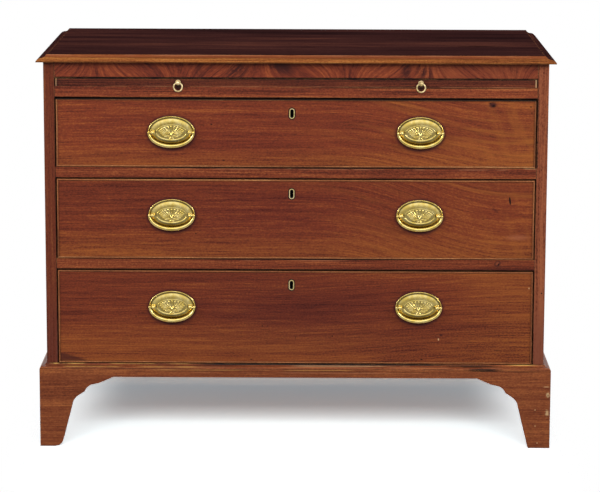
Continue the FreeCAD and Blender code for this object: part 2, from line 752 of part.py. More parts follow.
def build_drawer(drawer, tails):
    name = drawer + "_drawer"
    low = f"({drawer}_low + drawer_bottom_gap)"
    high = f"({drawer}_high - drawer_top_gap)"
    side_low = f"({drawer}_low + runner_gap)"
    side_high = f"({high} - drawer_side_drop)"
    panel_low = f"({side_low} + drawer_panel_rise)"
    panel_high = f"({panel_low} + drawer_panel_thickness)"
    pitch = f"(({side_high} - {side_low}) / {tails})"
    side_x = ("-drawer_x", "-drawer_inner_x")

    panel = keep(board(
        name + "_panel", ("-drawer_panel_x", "drawer_panel_x"),
        ("drawer_front_y - drawer_groove_depth", "drawer_end_y"), (panel_low, panel_high)))

    joints = []
    for index in range(tails):
        joints.append(wedge(
            f"{name}_tail_{'abcd'[index]}", side_x, ("tail_y", "drawer_front_y"),
            f"{side_low} + {index + 0.5} * {pitch}", f"{TAIL_END_SHARE} * {pitch}",
            f"{TAIL_ROOT_SHARE} * {pitch}"))
    pins = []
    for index in range(1, tails):
        pins.append(wedge(
            f"{name}_pin_{'abcd'[index]}", side_x, ("drawer_back_y", "drawer_end_y"),
            f"{side_low} + {index} * {pitch}", f"{PIN_ROOT_SHARE} * {pitch}", f"{PIN_END_SHARE} * {pitch}"))
    plank = board(name + "_side_blank", side_x, ("drawer_front_y", "drawer_end_y"), (side_low, side_high))
    side = keep(cut(name + "_side_left", fused(name + "_side_tailed", plank, *joints), panel, *pins))
    keep(mirrored(name + "_side_right", side))
    rear = board(
        name + "_back_blank", ("-drawer_inner_x", "drawer_inner_x"), ("drawer_back_y", "drawer_end_y"),
        (panel_high, f"{side_high} - drawer_back_drop"))
    far_pins = [mirrored(pin.Name + "_right", pin) for pin in pins]
    keep(fused(name + "_back", rear, *pins, *far_pins))

    blank = board(
        name + "_front_blank", ("-drawer_x", "drawer_x"), ("front_y", "drawer_front_y"), (low, high))
    field = board(
        name + "_front_field", ("-drawer_x + bead_width", "drawer_x - bead_width"),
        ("front_y - cut_overrun", "bead_y"), (f"{low} + bead_width", f"{high} - bead_width"))
    face = board(
        name + "_front_face", ("-drawer_x - cut_overrun", "drawer_x + cut_overrun"),
        ("front_y - cut_overrun", "bead_y"), (f"{low} - cut_overrun", f"{high} + cut_overrun"))
    rebate = cut(name + "_front_rebate", face, field)
    far_tails = [mirrored(tail.Name + "_right", tail) for tail in joints]
    tools = [rebate, panel, *joints, *far_tails]
    tools += build_lock(name, high)
    tools += build_pulls(name, f"({low} + {drawer}_pull_rise)")
    keep(cut(name + "_front", blank, *tools))
    build_beads(name, low, high)


# The brushing slide

def build_slide():
    level = ("slide_base", "slide_face")
    tongue_level = ("slide_mid - cleat_tongue_thickness / 2", "slide_mid + cleat_tongue_thickness / 2")
    knob_holes = []
    knobs = []
    for side, x in (("left", "-left_knob_offset"), ("right", "right_knob_offset")):
        name = "slide_knob_" + side
        knob_holes.append(rod(
            name + "_hole", (x, "front_y - cut_overrun", "slide_mid"), "knob_shank_radius + post_hole_gap",
            "knob_shank_length + cut_overrun", ALONG_Y))
        head = ball(name + "_head", (x, "knob_y", "slide_mid"), "knob_radius")
        collar = rod(
            name + "_collar", (x, "front_y - knob_collar_thickness", "slide_mid"), "knob_collar_radius",
            "knob_collar_thickness", ALONG_Y)
        shank = rod(
            name + "_shank", (x, "knob_y", "slide_mid"), "knob_shank_radius",
            "knob_reach + knob_shank_length - post_hole_gap", ALONG_Y)
        eye = rod(
            name + "_eye", (f"{x} - 2 * knob_radius", "knob_y", "slide_mid"), "knob_eye_radius",
            "4 * knob_radius", ALONG_X)
        knobs.append(cut(name, fused(name + "_blank", head, collar, shank), eye))
        ring = doc.addObject("Part::Torus", "slide_ring_" + side)
        bind(ring, "Radius1", "ring_radius")
        bind(ring, "Radius2", "ring_wire_radius")
        place(ring, (x, "knob_y", "slide_mid - ring_radius"), FACING_FRONT)
        keep(ring)
    keep(grouped("slide_knobs", *knobs))

    blank = board("slide_blank", ("-cleat_x", "cleat_x"), ("lip_y", "slide_end_y"), level)
    tongue = board("slide_tongue", ("-tongue_x", "tongue_x"), ("lip_y", "slide_end_y"), tongue_level)
    keep(cut("slide_panel", fused("slide_tongued", blank, tongue), *knob_holes))
    plank = board("slide_cleat_blank", ("-slide_x", "-cleat_x"), ("lip_y", "slide_end_y"), level)
    cleat = cut("slide_cleat_left", plank, tongue)
    strip = board("slide_lip_blank", ("-slide_x", "slide_x"), ("front_y", "lip_y"), level)
    lip = cut("slide_lip", strip, *knob_holes)
    keep(grouped("slide_edging", cleat, mirrored("slide_cleat_right", cleat), lip))


build_carcase()
build_base()
for drawer_name, tail_count in DRAWER_TAILS.items():
    build_drawer(drawer_name, tail_count)
build_slide()
doc.recompute()

faults = [made.Label for made in doc.Objects if {"Invalid", "Error"} & set(made.State)]
faults += [
    label for label, made in pieces.items()
    if made.Shape.isNull() or not made.Shape.isValid() or made.Shape.Volume <= 0]
if faults:
    raise RuntimeError("faulty objects: " + ", ".join(sorted(set(faults))))

os.makedirs("parts", exist_ok=True)
for label, made in pieces.items():
    made.Shape.exportStep(f"parts/{label}.step")
print(len(pieces), "pieces written")
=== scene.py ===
"""A flat-fronted mahogany chest of drawers with a brushing slide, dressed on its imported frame."""
import math
import random
from collections import namedtuple

import bmesh
import bpy
import numpy as np
from mathutils import Matrix, Vector


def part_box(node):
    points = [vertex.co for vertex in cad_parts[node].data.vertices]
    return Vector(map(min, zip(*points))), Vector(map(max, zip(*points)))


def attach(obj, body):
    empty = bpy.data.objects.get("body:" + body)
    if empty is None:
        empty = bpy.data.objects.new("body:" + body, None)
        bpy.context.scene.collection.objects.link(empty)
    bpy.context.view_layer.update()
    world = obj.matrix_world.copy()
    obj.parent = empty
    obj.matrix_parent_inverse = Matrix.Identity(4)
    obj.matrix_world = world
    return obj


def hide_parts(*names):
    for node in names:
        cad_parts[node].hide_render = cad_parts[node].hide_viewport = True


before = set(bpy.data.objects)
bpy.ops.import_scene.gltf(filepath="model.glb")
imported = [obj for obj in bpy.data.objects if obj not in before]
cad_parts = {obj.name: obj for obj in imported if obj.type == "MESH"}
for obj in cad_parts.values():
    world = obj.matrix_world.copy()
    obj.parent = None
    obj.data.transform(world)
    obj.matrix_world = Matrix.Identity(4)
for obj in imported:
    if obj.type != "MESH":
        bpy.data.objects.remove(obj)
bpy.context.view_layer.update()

MM = 0.001
DRAWERS = ("upper", "middle", "bottom")
SIDES = ("left", "right")
BACKBOARD_COUNT = 4

# Planes of the frame that the looks follow
FACE_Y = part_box("stiles")[0].y
LIP_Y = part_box("slide_panel")[0].y
TOP_LOW, TOP_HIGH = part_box("top_mouldings")
BASE_LOW, BASE_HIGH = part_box("base_mouldings")


def levels(node):
    """The lowest and the highest level of a node."""
    return tuple(corner.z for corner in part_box(node))


def middle(node):
    """The centre of a node's box."""
    low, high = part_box(node)
    return (low + high) / 2


# Camera, from a fit of the frame's corners to the photograph

IMAGE_WIDTH = 600
FOCAL_PIXELS = 2680.7
SENSOR_WIDTH = 36
CAMERA_PLACE = (0.0307, -5.5812, 1.3927)
CAMERA_YAW = 0.2327
CAMERA_PITCH = 10.3958
CAMERA_ROLL = 0.2046


def link(made):
    bpy.context.scene.collection.objects.link(made)
    return made


def add_camera():
    data = bpy.data.cameras.new("camera")
    data.sensor_fit = "HORIZONTAL"
    data.sensor_width = SENSOR_WIDTH
    data.lens = FOCAL_PIXELS * SENSOR_WIDTH / IMAGE_WIDTH
    camera = link(bpy.data.objects.new("camera", data))
    turn = Matrix.Rotation(math.radians(CAMERA_YAW), 4, "Z")
    turn = turn @ Matrix.Rotation(math.radians(90 - CAMERA_PITCH), 4, "X")
    turn = turn @ Matrix.Rotation(math.radians(CAMERA_ROLL), 4, "Z")
    camera.matrix_world = Matrix.Translation(CAMERA_PLACE) @ turn
    bpy.context.scene.camera = camera


# Node materials

NOISE_ROUGHNESS = 0.55
RAGGED_SCALES = (110, 110, 900)
EDGE_SAMPLES = 6
EDGE_TURNS = (0.01, 0.2)
EDGE_OPEN_SHARES = (0.55, 0.9)
CORNER_SAMPLES = 8
CORNER_OPEN_SHARES = (0.75, 0.2)


class Wire:
    """A value from a node; arithmetic on it adds math nodes."""

    def __init__(self, paint, socket):
        self.paint = paint
        self.socket = socket

    def __add__(self, other):
        return self.paint.math("ADD", self, other)

    __radd__ = __add__

    def __sub__(self, other):
        return self.paint.math("SUBTRACT", self, other)

    def __rsub__(self, other):
        return self.paint.math("SUBTRACT", other, self)

    def __mul__(self, other):
        return self.paint.math("MULTIPLY", self, other)

    def __truediv__(self, other):
        return self.paint.math("DIVIDE", self, other)

    def __abs__(self):
        return self.paint.math("ABSOLUTE", self)


class Paint:
    """The nodes of a material or a world, added by short calls."""

    def __init__(self, owner, place="Object"):
        self.owner = owner
        owner.use_nodes = True
        self.tree = owner.node_tree
        self.tree.nodes.clear()
        split = self.add("ShaderNodeSeparateXYZ", {0: self.out("ShaderNodeTexCoord", place)})
        self.x, self.y, self.z = (Wire(self, socket) for socket in split.outputs)

    def add(self, kind, inputs=None, **settings):
        made = self.tree.nodes.new(kind)
        for key, value in settings.items():
            setattr(made, key, value)
        for key, value in (inputs or {}).items():
            self.put(made.inputs[key], value)
        return made

    def out(self, kind, name, inputs=None, **settings):
        """One output of a new node."""
        return Wire(self, self.add(kind, inputs, **settings).outputs[name])

    def put(self, socket, value):
        if isinstance(value, Wire):
            self.tree.links.new(value.socket, socket)
        else:
            socket.default_value = value

    def math(self, operation, *values):
        return self.out("ShaderNodeMath", 0, dict(enumerate(values)), operation=operation)

    def vector(self, *values):
        return self.out("ShaderNodeCombineXYZ", 0, dict(enumerate(values)))

    def noise(self, point, detail=2, roughness=NOISE_ROUGHNESS):
        return self.out("ShaderNodeTexNoise", 0, {
            "Vector": self.vector(*point), "Scale": 1, "Detail": detail, "Roughness": roughness})

    def span(self, value, low, high):
        """0 at low, 1 at high, and smooth between them."""
        return self.out(
            "ShaderNodeMapRange", 0, {"Value": value, "From Min": low, "From Max": high},
            interpolation_type="SMOOTHSTEP")

    def mix(self, share, first, second, way="MIX"):
        return self.out(
            "ShaderNodeMix", 2, {0: share, 6: first, 7: second}, data_type="RGBA", blend_type=way)

    def ramp(self, value, stops):
        made = self.add("ShaderNodeValToRGB", {"Fac": value})
        elements = made.color_ramp.elements
        while len(elements) < len(stops):
            elements.new(1)
        for element, (place, colour) in zip(elements, stops):
            element.position = place
            element.color = colour
        return Wire(self, made.outputs["Color"])

    def spot(self, x, rise, width, height, soft, turn=0, ragged=0, upright="z"):
        """1 inside an oval on the front or the top, 0 outside; ragged lets the grain break its outline."""
        cosine, sine = math.cos(turn), math.sin(turn)
        right, up = self.x - x, getattr(self, upright) - rise
        across = (right * cosine + up * sine) / width
        along = (up * cosine - right * sine) / height
        away = self.math("SQRT", across * across + along * along)
        if ragged:
            axes = zip((self.x, self.y, self.z), RAGGED_SCALES)
            broken = self.noise([axis * scale for axis, scale in axes], detail=3)
            away = away + (broken - 0.5) * ragged
        return self.span(away, 1, 1 - soft)

    def edges(self, radius, reach):
        """The normal rounded at the edges, a mask of worn edges and a mask of corners, where grime and
        painted shade go.
        """
        rounded = self.out("ShaderNodeBevel", 0, {"Radius": radius}, samples=EDGE_SAMPLES)
        plain = self.out("ShaderNodeNewGeometry", "Normal")
        across = self.out("ShaderNodeVectorMath", "Value", {0: rounded, 1: plain}, operation="DOT_PRODUCT")
        open_share = self.out(
            "ShaderNodeAmbientOcclusion", "AO", {"Distance": reach}, samples=CORNER_SAMPLES)
        wear = self.span(1 - across, *EDGE_TURNS) * self.span(open_share, *EDGE_OPEN_SHARES)
        return rounded, wear, self.span(open_share, *CORNER_OPEN_SHARES)

    def finish(self, colour, roughness, height, depth, normal, metallic=0, specular=0.5):
        bump = self.out("ShaderNodeBump", 0, {"Height": height, "Distance": depth, "Normal": normal})
        shader = self.out("ShaderNodeBsdfPrincipled", 0, {
            "Base Color": colour, "Roughness": roughness, "Metallic": metallic,
            "Specular IOR Level": specular, "Normal": bump})
        return self.close(shader, "ShaderNodeOutputMaterial")

    def close(self, shader, kind):
        self.add(kind, {"Surface": shader})
        return self.owner


def new_paint(name):
    return Paint(bpy.data.materials.new(name))


def tone(red, green, blue):
    """A screen colour of 0 to 255 as linear light."""
    def linear(value):
        share = value / 255
        return share / 12.92 if share <= 0.04045 else ((share + 0.055) / 1.055) ** 2.4
    return linear(red), linear(green), linear(blue), 1


# Woods

# Corners: how far the grime and painted shade reach, and how strong they are
CORNER_REACH = 0.009
FRIEZE_CORNER_REACH = 0.004
CORNER_DIRT_AND_SHADE_SHARE = 0.85
WORN_RADIUS = 0.0012
WORN_SHARE = 0.75
WORN_PATCHES = 40
WORN_PATCH_SPAN = (0.35, 0.65)
GRAIN_ROUGHNESS = 0.6
GRAIN_DEPTH = 0.00012
PIT_DEPTH_SHARE = 0.6
GLOSS_SWING = 0.12
DIRT_DULLNESS = 0.3
# Dark of pores, joints and grime, also used for painted shade in corners and gaps
DIRT_AND_SHADE = tone(24, 13, 11)
SEED_STEP = (7.31, 3.17, 1.73)
BOARD_STEP = (3.7, 1.3)

# Noise stretched along the grain, and short dark dashes that start and fill at two levels of such noise
Grain = namedtuple("Grain", "along across detail weight")
Dashes = namedtuple("Dashes", "along across low high strength detail", defaults=(1,))

WAVE = Grain(2.5, 5, 1, 0.012)
MAHOGANY_LAYERS = (
    Grain(1.4, 9, 2, 0.55), Grain(2.2, 95, 5, 0.75), Grain(12, 420, 3, 0.85), Grain(250, 420, 1, 0.55))
RAIL_LAYERS = (Grain(1.4, 60, 4, 1.3), Grain(7, 420, 3, 1.2), Grain(250, 420, 1, 0.7))
FRIEZE_LAYERS = (
    Grain(6, 9, 2, 0.5), Grain(10, 40, 2, 0.4), Grain(14, 260, 3, 1.1), Grain(250, 420, 1, 0.4))
TOP_LAYERS = (
    Grain(1.2, 5, 2, 0.7), Grain(2.4, 26, 4, 1.0), Grain(8, 110, 3, 0.7), Grain(250, 420, 1, 0.4))
OAK_LAYERS = (Grain(2, 12, 2, 0.8), Grain(6, 300, 4, 1.1), Grain(60, 40, 2, 0.4))
PINE_LAYERS = (Grain(0.9, 6, 2, 0.5), Grain(1.2, 110, 2, 0.7), Grain(10, 300, 3, 0.4))
MAHOGANY_PORES = Dashes(75, 1700, 0.58, 0.7, 0.38)
OAK_PORES = Dashes(60, 1500, 0.56, 0.66, 0.55)
PINE_PORES = Dashes(30, 900, 0.66, 0.76, 0.2)
MAHOGANY_FLECKS = Dashes(70, 480, 0.62, 0.72, 0.28)


def grain_x(paint):
    return paint.x, paint.z, paint.y


def grain_y(paint):
    return paint.y, paint.z, paint.x


def grain_z(paint):
    return paint.z, paint.x, paint.y


def grained(paint, point, kind, roughness=NOISE_ROUGHNESS):
    along, across, depth = point
    return paint.noise(
        (along * kind.along, across * kind.across, depth * kind.across), kind.detail, roughness)


def wood(name, seed, tones, worn, grain=grain_x, layers=MAHOGANY_LAYERS, pores=MAHOGANY_PORES,
         flecks=None, gloss=0.42, specular=0.15, figure=None, extras=(), reach=CORNER_REACH):
    """Long grain along the first of three directions, with pores, worn edges, and grime and painted shade
    in the corners.
    """
    paint = new_paint(name)
    along, across, depth = grain(paint)
    if figure:
        along, across = figure(paint, along, across)
    along, across, depth = (
        value + seed * step for value, step in zip((along, across, depth), SEED_STEP))
    sway = grained(paint, (along, across, depth), WAVE)
    point = along, across + (sway - 0.5) * WAVE.weight, depth
    shade = 0.5
    for layer in layers:
        shade = shade + (grained(paint, point, layer, GRAIN_ROUGHNESS) - 0.5) * layer.weight
    colour = paint.ramp(shade, tones)

    def dashes(kind):
        return paint.span(grained(paint, point, kind), kind.low, kind.high)

    pits = dashes(pores)
    colour = paint.mix(pits * pores.strength, colour, DIRT_AND_SHADE)
    if flecks:
        colour = paint.mix(dashes(flecks) * flecks.strength, colour, DIRT_AND_SHADE)
    for extra in extras:
        colour = extra(paint, colour, shade)
    normal, wear, corner_dirt_and_shade = paint.edges(WORN_RADIUS, reach)
    patches = paint.noise([axis * WORN_PATCHES for axis in (paint.x, paint.y, paint.z)])
    colour = paint.mix(wear * paint.span(patches, *WORN_PATCH_SPAN) * WORN_SHARE, colour, worn)
    # Grime and painted shade in the corners, darker where a corner is less open
    colour = paint.mix(corner_dirt_and_shade * CORNER_DIRT_AND_SHADE_SHARE, colour, DIRT_AND_SHADE)
    roughness = gloss + (shade - 0.5) * GLOSS_SWING + corner_dirt_and_shade * DIRT_DULLNESS
    return paint.finish(
        colour, roughness, shade - pits * PIT_DEPTH_SHARE, GRAIN_DEPTH, normal, specular=specular)


def either(share, first, second):
    return first + share * (second - first)


def past_mitre(paint, half, tip):
    """1 on the end strips of a moulding, 0 on its front strip."""
    return paint.math("GREATER_THAN", paint.y - tip, half - abs(paint.x))


def moulding_grain(half, tip):
    """Along x on the front strip and along y on the end strips, parted at the mitres."""
    def grain(paint):
        end = past_mitre(paint, half, tip)
        return either(end, paint.x, paint.y), paint.z, either(end, paint.y, paint.x)
    return grain


def bead_grain(low, high):
    """Along x on the upper and lower beads and along z on the end beads, parted at the mitres."""
    def grain(paint):
        to_end = high.x - abs(paint.x)
        to_edge = paint.math("MINIMUM", paint.z - low.z, high.z - paint.z)
        upright = paint.math("GREATER_THAN", to_edge, to_end)
        return either(upright, paint.x, paint.z), either(upright, paint.z, paint.x), paint.y
    return grain


def board_grain(low, high, count):
    """Along x on boards laid one above another, each with its own grain."""
    def grain(paint):
        row = paint.math("FLOOR", (paint.z - low.z) * (count / (high.z - low.z)))
        return paint.x + row * BOARD_STEP[0], paint.z + row * BOARD_STEP[1], paint.y
    return grain


def edging_grain(paint):
    """Along x on the slide's lipping and along y on its cleats."""
    cleat = paint.math("GREATER_THAN", paint.y, LIP_Y)
    return either(cleat, paint.x, paint.y), paint.z, either(cleat, paint.y, paint.x)


# Figure, stains, wear and painted shade

CROTCH_HEART = -0.068
CROTCH_LENGTH = 0.335
CROTCH_LEAN = 0.75
CROTCH_DRIFT = 0.15
CROTCH_PITCH = 0.6
FEATHER_SOFT = 0.8
FEATHER_SHADES = (0.75, 0.35)
WASH_SHADES = (0.2, 0.7)
CURL = dict(along=42, slant=16, depth=8, rise=11)
CURL_SPAN = (0.45, 0.7)
STREAK_ALONG = 4
STREAK_ACROSS = 48
STREAK_SPAN = (0.48, 0.66)
LINE_SOFT = 0.0004
BROKEN_SPAN = (0.38, 0.6)
UPRIGHT_FADE = 0.004
EDGE_MARGIN = 0.001
SEAM_WIDTH = 0.0012
SEAM_SHARE = 0.7
# Grime and painted shade about the liners and the pulls, and the depth in a key slot where its painted
# shade starts
GRIME_AND_SHADE_SHARE = 0.9
LINER_GRIME_AND_SHADE = 0.0018
LINER_RING = 0.0018
LINER_RIM = 0.0006
SLOT_SHADE_FROM = 0.002
# Darkened polish and painted shadow round the pulls: reach beyond the plates, drop of the shadow and fade
HALO_WIDTH = 0.009
HALO_SHADOW_DROP = 0.002
HALO_SPAN = (1, 0.8)
UPWARD_SPAN = (0.3, 0.6)


def stripe(paint, value, low, high, soft):
    """1 between two planes, 0 outside them."""
    return paint.span(value, low - soft, low + soft) * paint.span(value, high + soft, high - soft)


def swoop(start, stop, drop):
    """Grain that sinks towards the right between two planes."""
    def figure(paint, along, across):
        return along, across + paint.span(paint.x, start, stop) * drop
    return figure


def crotch(level):
    """Feathers that lean one way and the other along a rail at that level."""
    def figure(paint, along, across):
        lean = paint.math("SINE", (paint.x - CROTCH_HEART) * (math.tau / CROTCH_LENGTH)) * CROTCH_LEAN
        rise = paint.z - level
        return rise + paint.x * CROTCH_DRIFT, paint.x * CROTCH_PITCH + rise * lean
    return figure


def blend(colour, share, way="MIX"):
    """An extra of a wood or metal, which mixes in a colour by a share."""
    def extra(paint, under, shade):
        return paint.mix(share(paint, shade), under, colour, way)
    return extra


def mark(colour, x, rise, width, height, strength=1, soft=0.7, turn=0, ragged=0, upright="z", way="MIX"):
    """A spot, scratch or stain, or a spot of painted shadow."""
    def share(paint, shade):
        return paint.spot(x, rise, width, height, soft, turn, ragged, upright) * strength
    return blend(colour, share, way)


def marks(colour, *spots):
    return [mark(colour, *spot) for spot in spots]


def shaded(filter_share, x, rise, width, height):
    """A wide soft darkening that keeps the grain."""
    return mark((*filter_share, 1), x, rise, width, height, soft=1, way="MULTIPLY")


def feathers(x, rise, width, height, turn, strength):
    """Dark streaks of the figure inside an oval."""
    def share(paint, shade):
        oval = paint.spot(x, rise, width, height, FEATHER_SOFT, turn)
        return oval * strength * paint.span(shade, *FEATHER_SHADES)
    return blend(SMOKY, share)


def wash(colour, axis, start, stop, strength):
    """A change of tone that grows from one plane to another, broken by the grain."""
    def share(paint, shade):
        grown = paint.span(getattr(paint, axis), start, stop)
        return grown * strength * paint.span(shade, *WASH_SHADES)
    return blend(colour, share)


def ripple(start, stop, strength):
    """Pale curls across the grain, stronger towards the right."""
    def share(paint, shade):
        slant = paint.x * CURL["along"] + paint.z * CURL["slant"]
        curl = paint.noise((slant, paint.y * CURL["depth"], paint.z * CURL["rise"]))
        return paint.span(paint.x, start, stop) * paint.span(curl, *CURL_SPAN) * strength
    return blend(GOLDEN, share)


def streaks(start, stop, drop, strength):
    """Long pale streaks that sink and grow towards the right."""
    def share(paint, shade):
        right = paint.span(paint.x, start, stop)
        sunk = paint.z + right * drop
        bands = paint.noise((paint.x * STREAK_ALONG, paint.y, sunk * STREAK_ACROSS), detail=3)
        return right * strength * paint.span(bands, *STREAK_SPAN)
    return blend(GOLDEN, share)


def line(colour, low, high, start=-1, stop=1, strength=1, fade=0.02, broken=0, back=None, upright=False):
    """A line between two levels, from start to stop along x; upright, x and z change places."""
    def share(paint, shade):
        across, along = (paint.x, paint.z) if upright else (paint.z, paint.x)
        drawn = stripe(paint, across, low, high, LINE_SOFT) * stripe(paint, along, start, stop, fade)
        if back is not None:
            drawn = drawn * paint.span(paint.y, back + LINE_SOFT, back - LINE_SOFT)
        if broken:
            patches = paint.noise((paint.x * broken, paint.y, paint.z), detail=3)
            drawn = drawn * paint.span(patches, *BROKEN_SPAN)
        return drawn * strength
    return blend(colour, share)


def upright_line(*places, **looks):
    return line(*places, fade=UPRIGHT_FADE, upright=True, **looks)


def head_line(colour, edge, depth, *places, **looks):
    """A line along the upper edge of a piece."""
    return line(colour, edge - depth, edge + EDGE_MARGIN, *places, **looks)


def foot_line(colour, edge, depth, *places, **looks):
    """A line along the lower edge of a piece."""
    return line(colour, edge - EDGE_MARGIN, edge + depth, *places, **looks)


def obround(paint, x, z, half_width, half_height):
    """1 inside an upright slot with round ends, 0 outside it."""
    right = paint.x - x
    up = paint.math("MAXIMUM", abs(paint.z - z) - (half_height - half_width), 0)
    away = paint.math("SQRT", right * right + up * up)
    return paint.span(away, half_width + LINE_SOFT, half_width - LINE_SOFT)


def liner_slot(drawer, grown=0):
    """The outline of a keyhole liner: its centre and half sizes."""
    node = f"{drawer}_drawer_escutcheon"
    centre = middle(node)
    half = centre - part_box(node)[0]
    return centre.x, centre.z, half.x + grown, half.z + grown


def keyhole_shade_and_grime(drawer):
    """Painted shade inside the key slot, and grime and painted shade about its liner."""
    def extra(paint, under, shade):
        about = obround(paint, *liner_slot(drawer, LINER_GRIME_AND_SHADE))
        under = paint.mix(about * GRIME_AND_SHADE_SHARE, under, DIRT_AND_SHADE)
        depth = paint.span(paint.y, FACE_Y + SLOT_SHADE_FROM, FACE_Y + 2 * SLOT_SHADE_FROM)
        return paint.mix(obround(paint, *liner_slot(drawer)) * depth, under, BLACK)
    return extra


def liner_shade_and_grime(drawer):
    """Painted shade about the hole of a liner and black grime along its rim, so that a thin bright ring is
    left.
    """
    def share(paint, shade):
        inner = obround(paint, *liner_slot(drawer, -LINER_RING))
        rim = 1 - obround(paint, *liner_slot(drawer, -LINER_RIM))
        return paint.math("MAXIMUM", inner, rim * GRIME_AND_SHADE_SHARE)
    return blend(BLACK, share)


def polish_and_shadow_halo(drawer):
    """Old polish that has darkened round the plates of a drawer, with the painted shadow of the pulls
    dropped a little below them.
    """
    low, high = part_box(f"{drawer}_drawer_pull_mounts")
    offset = middle(f"{drawer}_drawer_bail_right").x
    width, height = high.x - offset + HALO_WIDTH, (high.z - low.z) / 2 + HALO_WIDTH
    level = (low.z + high.z) / 2 - HALO_SHADOW_DROP

    def share(paint, shade):
        right = (abs(paint.x) - offset) / width
        up = (paint.z - level) / height
        away = paint.math("SQRT", right * right + up * up)
        return paint.span(away, *HALO_SPAN) * GRIME_AND_SHADE_SHARE
    return blend(HALO_POLISH_AND_SHADOW, share)


def seams(half):
    """Dark joints where a rail meets the stiles."""
    def share(paint, shade):
        away = half - abs(paint.x)
        return paint.span(away, SEAM_WIDTH, 0) * SEAM_SHARE
    return blend(DIRT_AND_SHADE, share)


def board_joints(low, high, count):
    """Dark joints between boards laid one above another."""
    board = (high.z - low.z) / count

    def share(paint, shade):
        part = paint.math("FRACT", (paint.z - low.z) / board)
        away = 0.5 - abs(part - 0.5)
        return paint.span(away, SEAM_WIDTH / board, 0)
    return blend(DIRT_AND_SHADE, share)


def topped(paint, under, shade):
    """The darker tone of the top on what faces up on the end strips."""
    normal = paint.out("ShaderNodeNewGeometry", "Normal")
    up = paint.out("ShaderNodeSeparateXYZ", "Z", {0: normal})
    end = past_mitre(paint, TOP_HIGH.x, TOP_LOW.y)
    return paint.mix(paint.span(up, *UPWARD_SPAN) * end, under, paint.ramp(shade, TOP_TONES))


# Tones

TONE_PLACES = (0.18, 0.42, 0.6, 0.85)


def wood_tones(*colours):
    """The tones of a wood from dark to light, each at its place on the ramp."""
    return tuple((place, tone(*colour)) for place, colour in zip(TONE_PLACES, colours))


def scaled(tones, level):
    return tuple((place, tuple(value * level for value in colour[:3]) + (1,)) for place, colour in tones)


DRAWER_TONES = wood_tones((80, 32, 23), (118, 52, 33), (134, 62.5, 36), (168, 92, 45))
CASE_TONES = wood_tones((78, 32, 22), (114, 52, 32), (132, 64, 37), (164, 94, 52))
TOP_TONES = wood_tones((37, 20, 21), (55, 30, 29), (67, 37, 34), (92, 52, 42))
MOULDING_TONES = wood_tones((98, 50, 30), (140, 81, 43), (160, 95, 48), (200, 134, 70))
FRIEZE_TONES = wood_tones((70, 28, 25), (114, 50, 33), (136, 64, 38), (170, 88, 48))
SLIDE_TONES = wood_tones((58, 24, 18), (94, 42, 28), (108, 51, 32), (140, 74, 44))
BASE_TONES = wood_tones((80, 36, 23), (114, 57, 33), (131, 70, 40), (163, 96, 52))
BEAD_TONES = wood_tones((92, 52, 34), (134, 80, 48), (156, 98, 60), (192, 138, 88))
OAK_TONES = wood_tones((104, 66, 38), (150, 104, 62), (170, 122, 76), (198, 152, 104))
PINE_TONES = wood_tones((118, 72, 40), (160, 106, 62), (180, 124, 76), (206, 156, 106))
# Dark tones of the foot blocks, painted shade so that they sink into the shadow under the chest
FOOT_BLOCK_SHADE_TONES = wood_tones((34, 22, 16), (52, 36, 26), (64, 44, 32), (84, 60, 44))
WORN_TONE = tone(190, 130, 78)
WORN_PINE_TONE = tone(205, 172, 124)
GOLDEN = tone(164, 98, 42)
SMOKY = tone(64, 28, 24)
BLACK = tone(14, 9, 9)
PALE = tone(206, 172, 126)
ROSY = tone(172, 112, 78)
GILT = tone(206, 160, 84)
PLUM = tone(84, 44, 42)
SUNNED = tone(156, 92, 62)
# Darkened polish and painted shadow round the pulls
HALO_POLISH_AND_SHADOW = tone(54, 22, 26)
RUSSET = tone(128, 66, 42)


# Marks by node, at their places in the frame

RAIL_PAST_DRAWER = 0.0025
LIP_LINE_DEPTH = 0.0012
BEAD_LINE_DEPTH = 0.0035

# Dark feathers of the frieze: place along x, rise from its lower edge, half sizes, turn and strength
FEATHERS = (
    (-0.118, 0.015, 0.036, 0.024, 0.5, 1), (-0.028, 0.022, 0.036, 0.02, -0.3, 1),
    (-0.194, 0.016, 0.013, 0.03, 0, 0.6), (0.22, 0.018, 0.014, 0.03, 0, 1),
    (0.258, 0.012, 0.026, 0.02, -0.5, 1), (0.436, 0.016, 0.011, 0.03, 0.5, 0.6))


def top_extras():
    low, high = levels("top_mouldings")
    return {
        "top_board": [
            mark(BLACK, 0.37, -0.07, 0.07, 0.012, 0.7, ragged=1, upright="y"),
            mark(BLACK, 0.02, -0.1, 0.03, 0.012, 0.4, ragged=1, upright="y")],
        "top_mouldings": [
            head_line(RUSSET, high, 0.0055, strength=0.7),
            line(DIRT_AND_SHADE, high - 0.0062, high - 0.005, strength=0.45, broken=9),
            head_line(ROSY, high, 0.0016, strength=0.6, broken=11),
            foot_line(DIRT_AND_SHADE, low, 0.0022, strength=0.55), topped],
    }


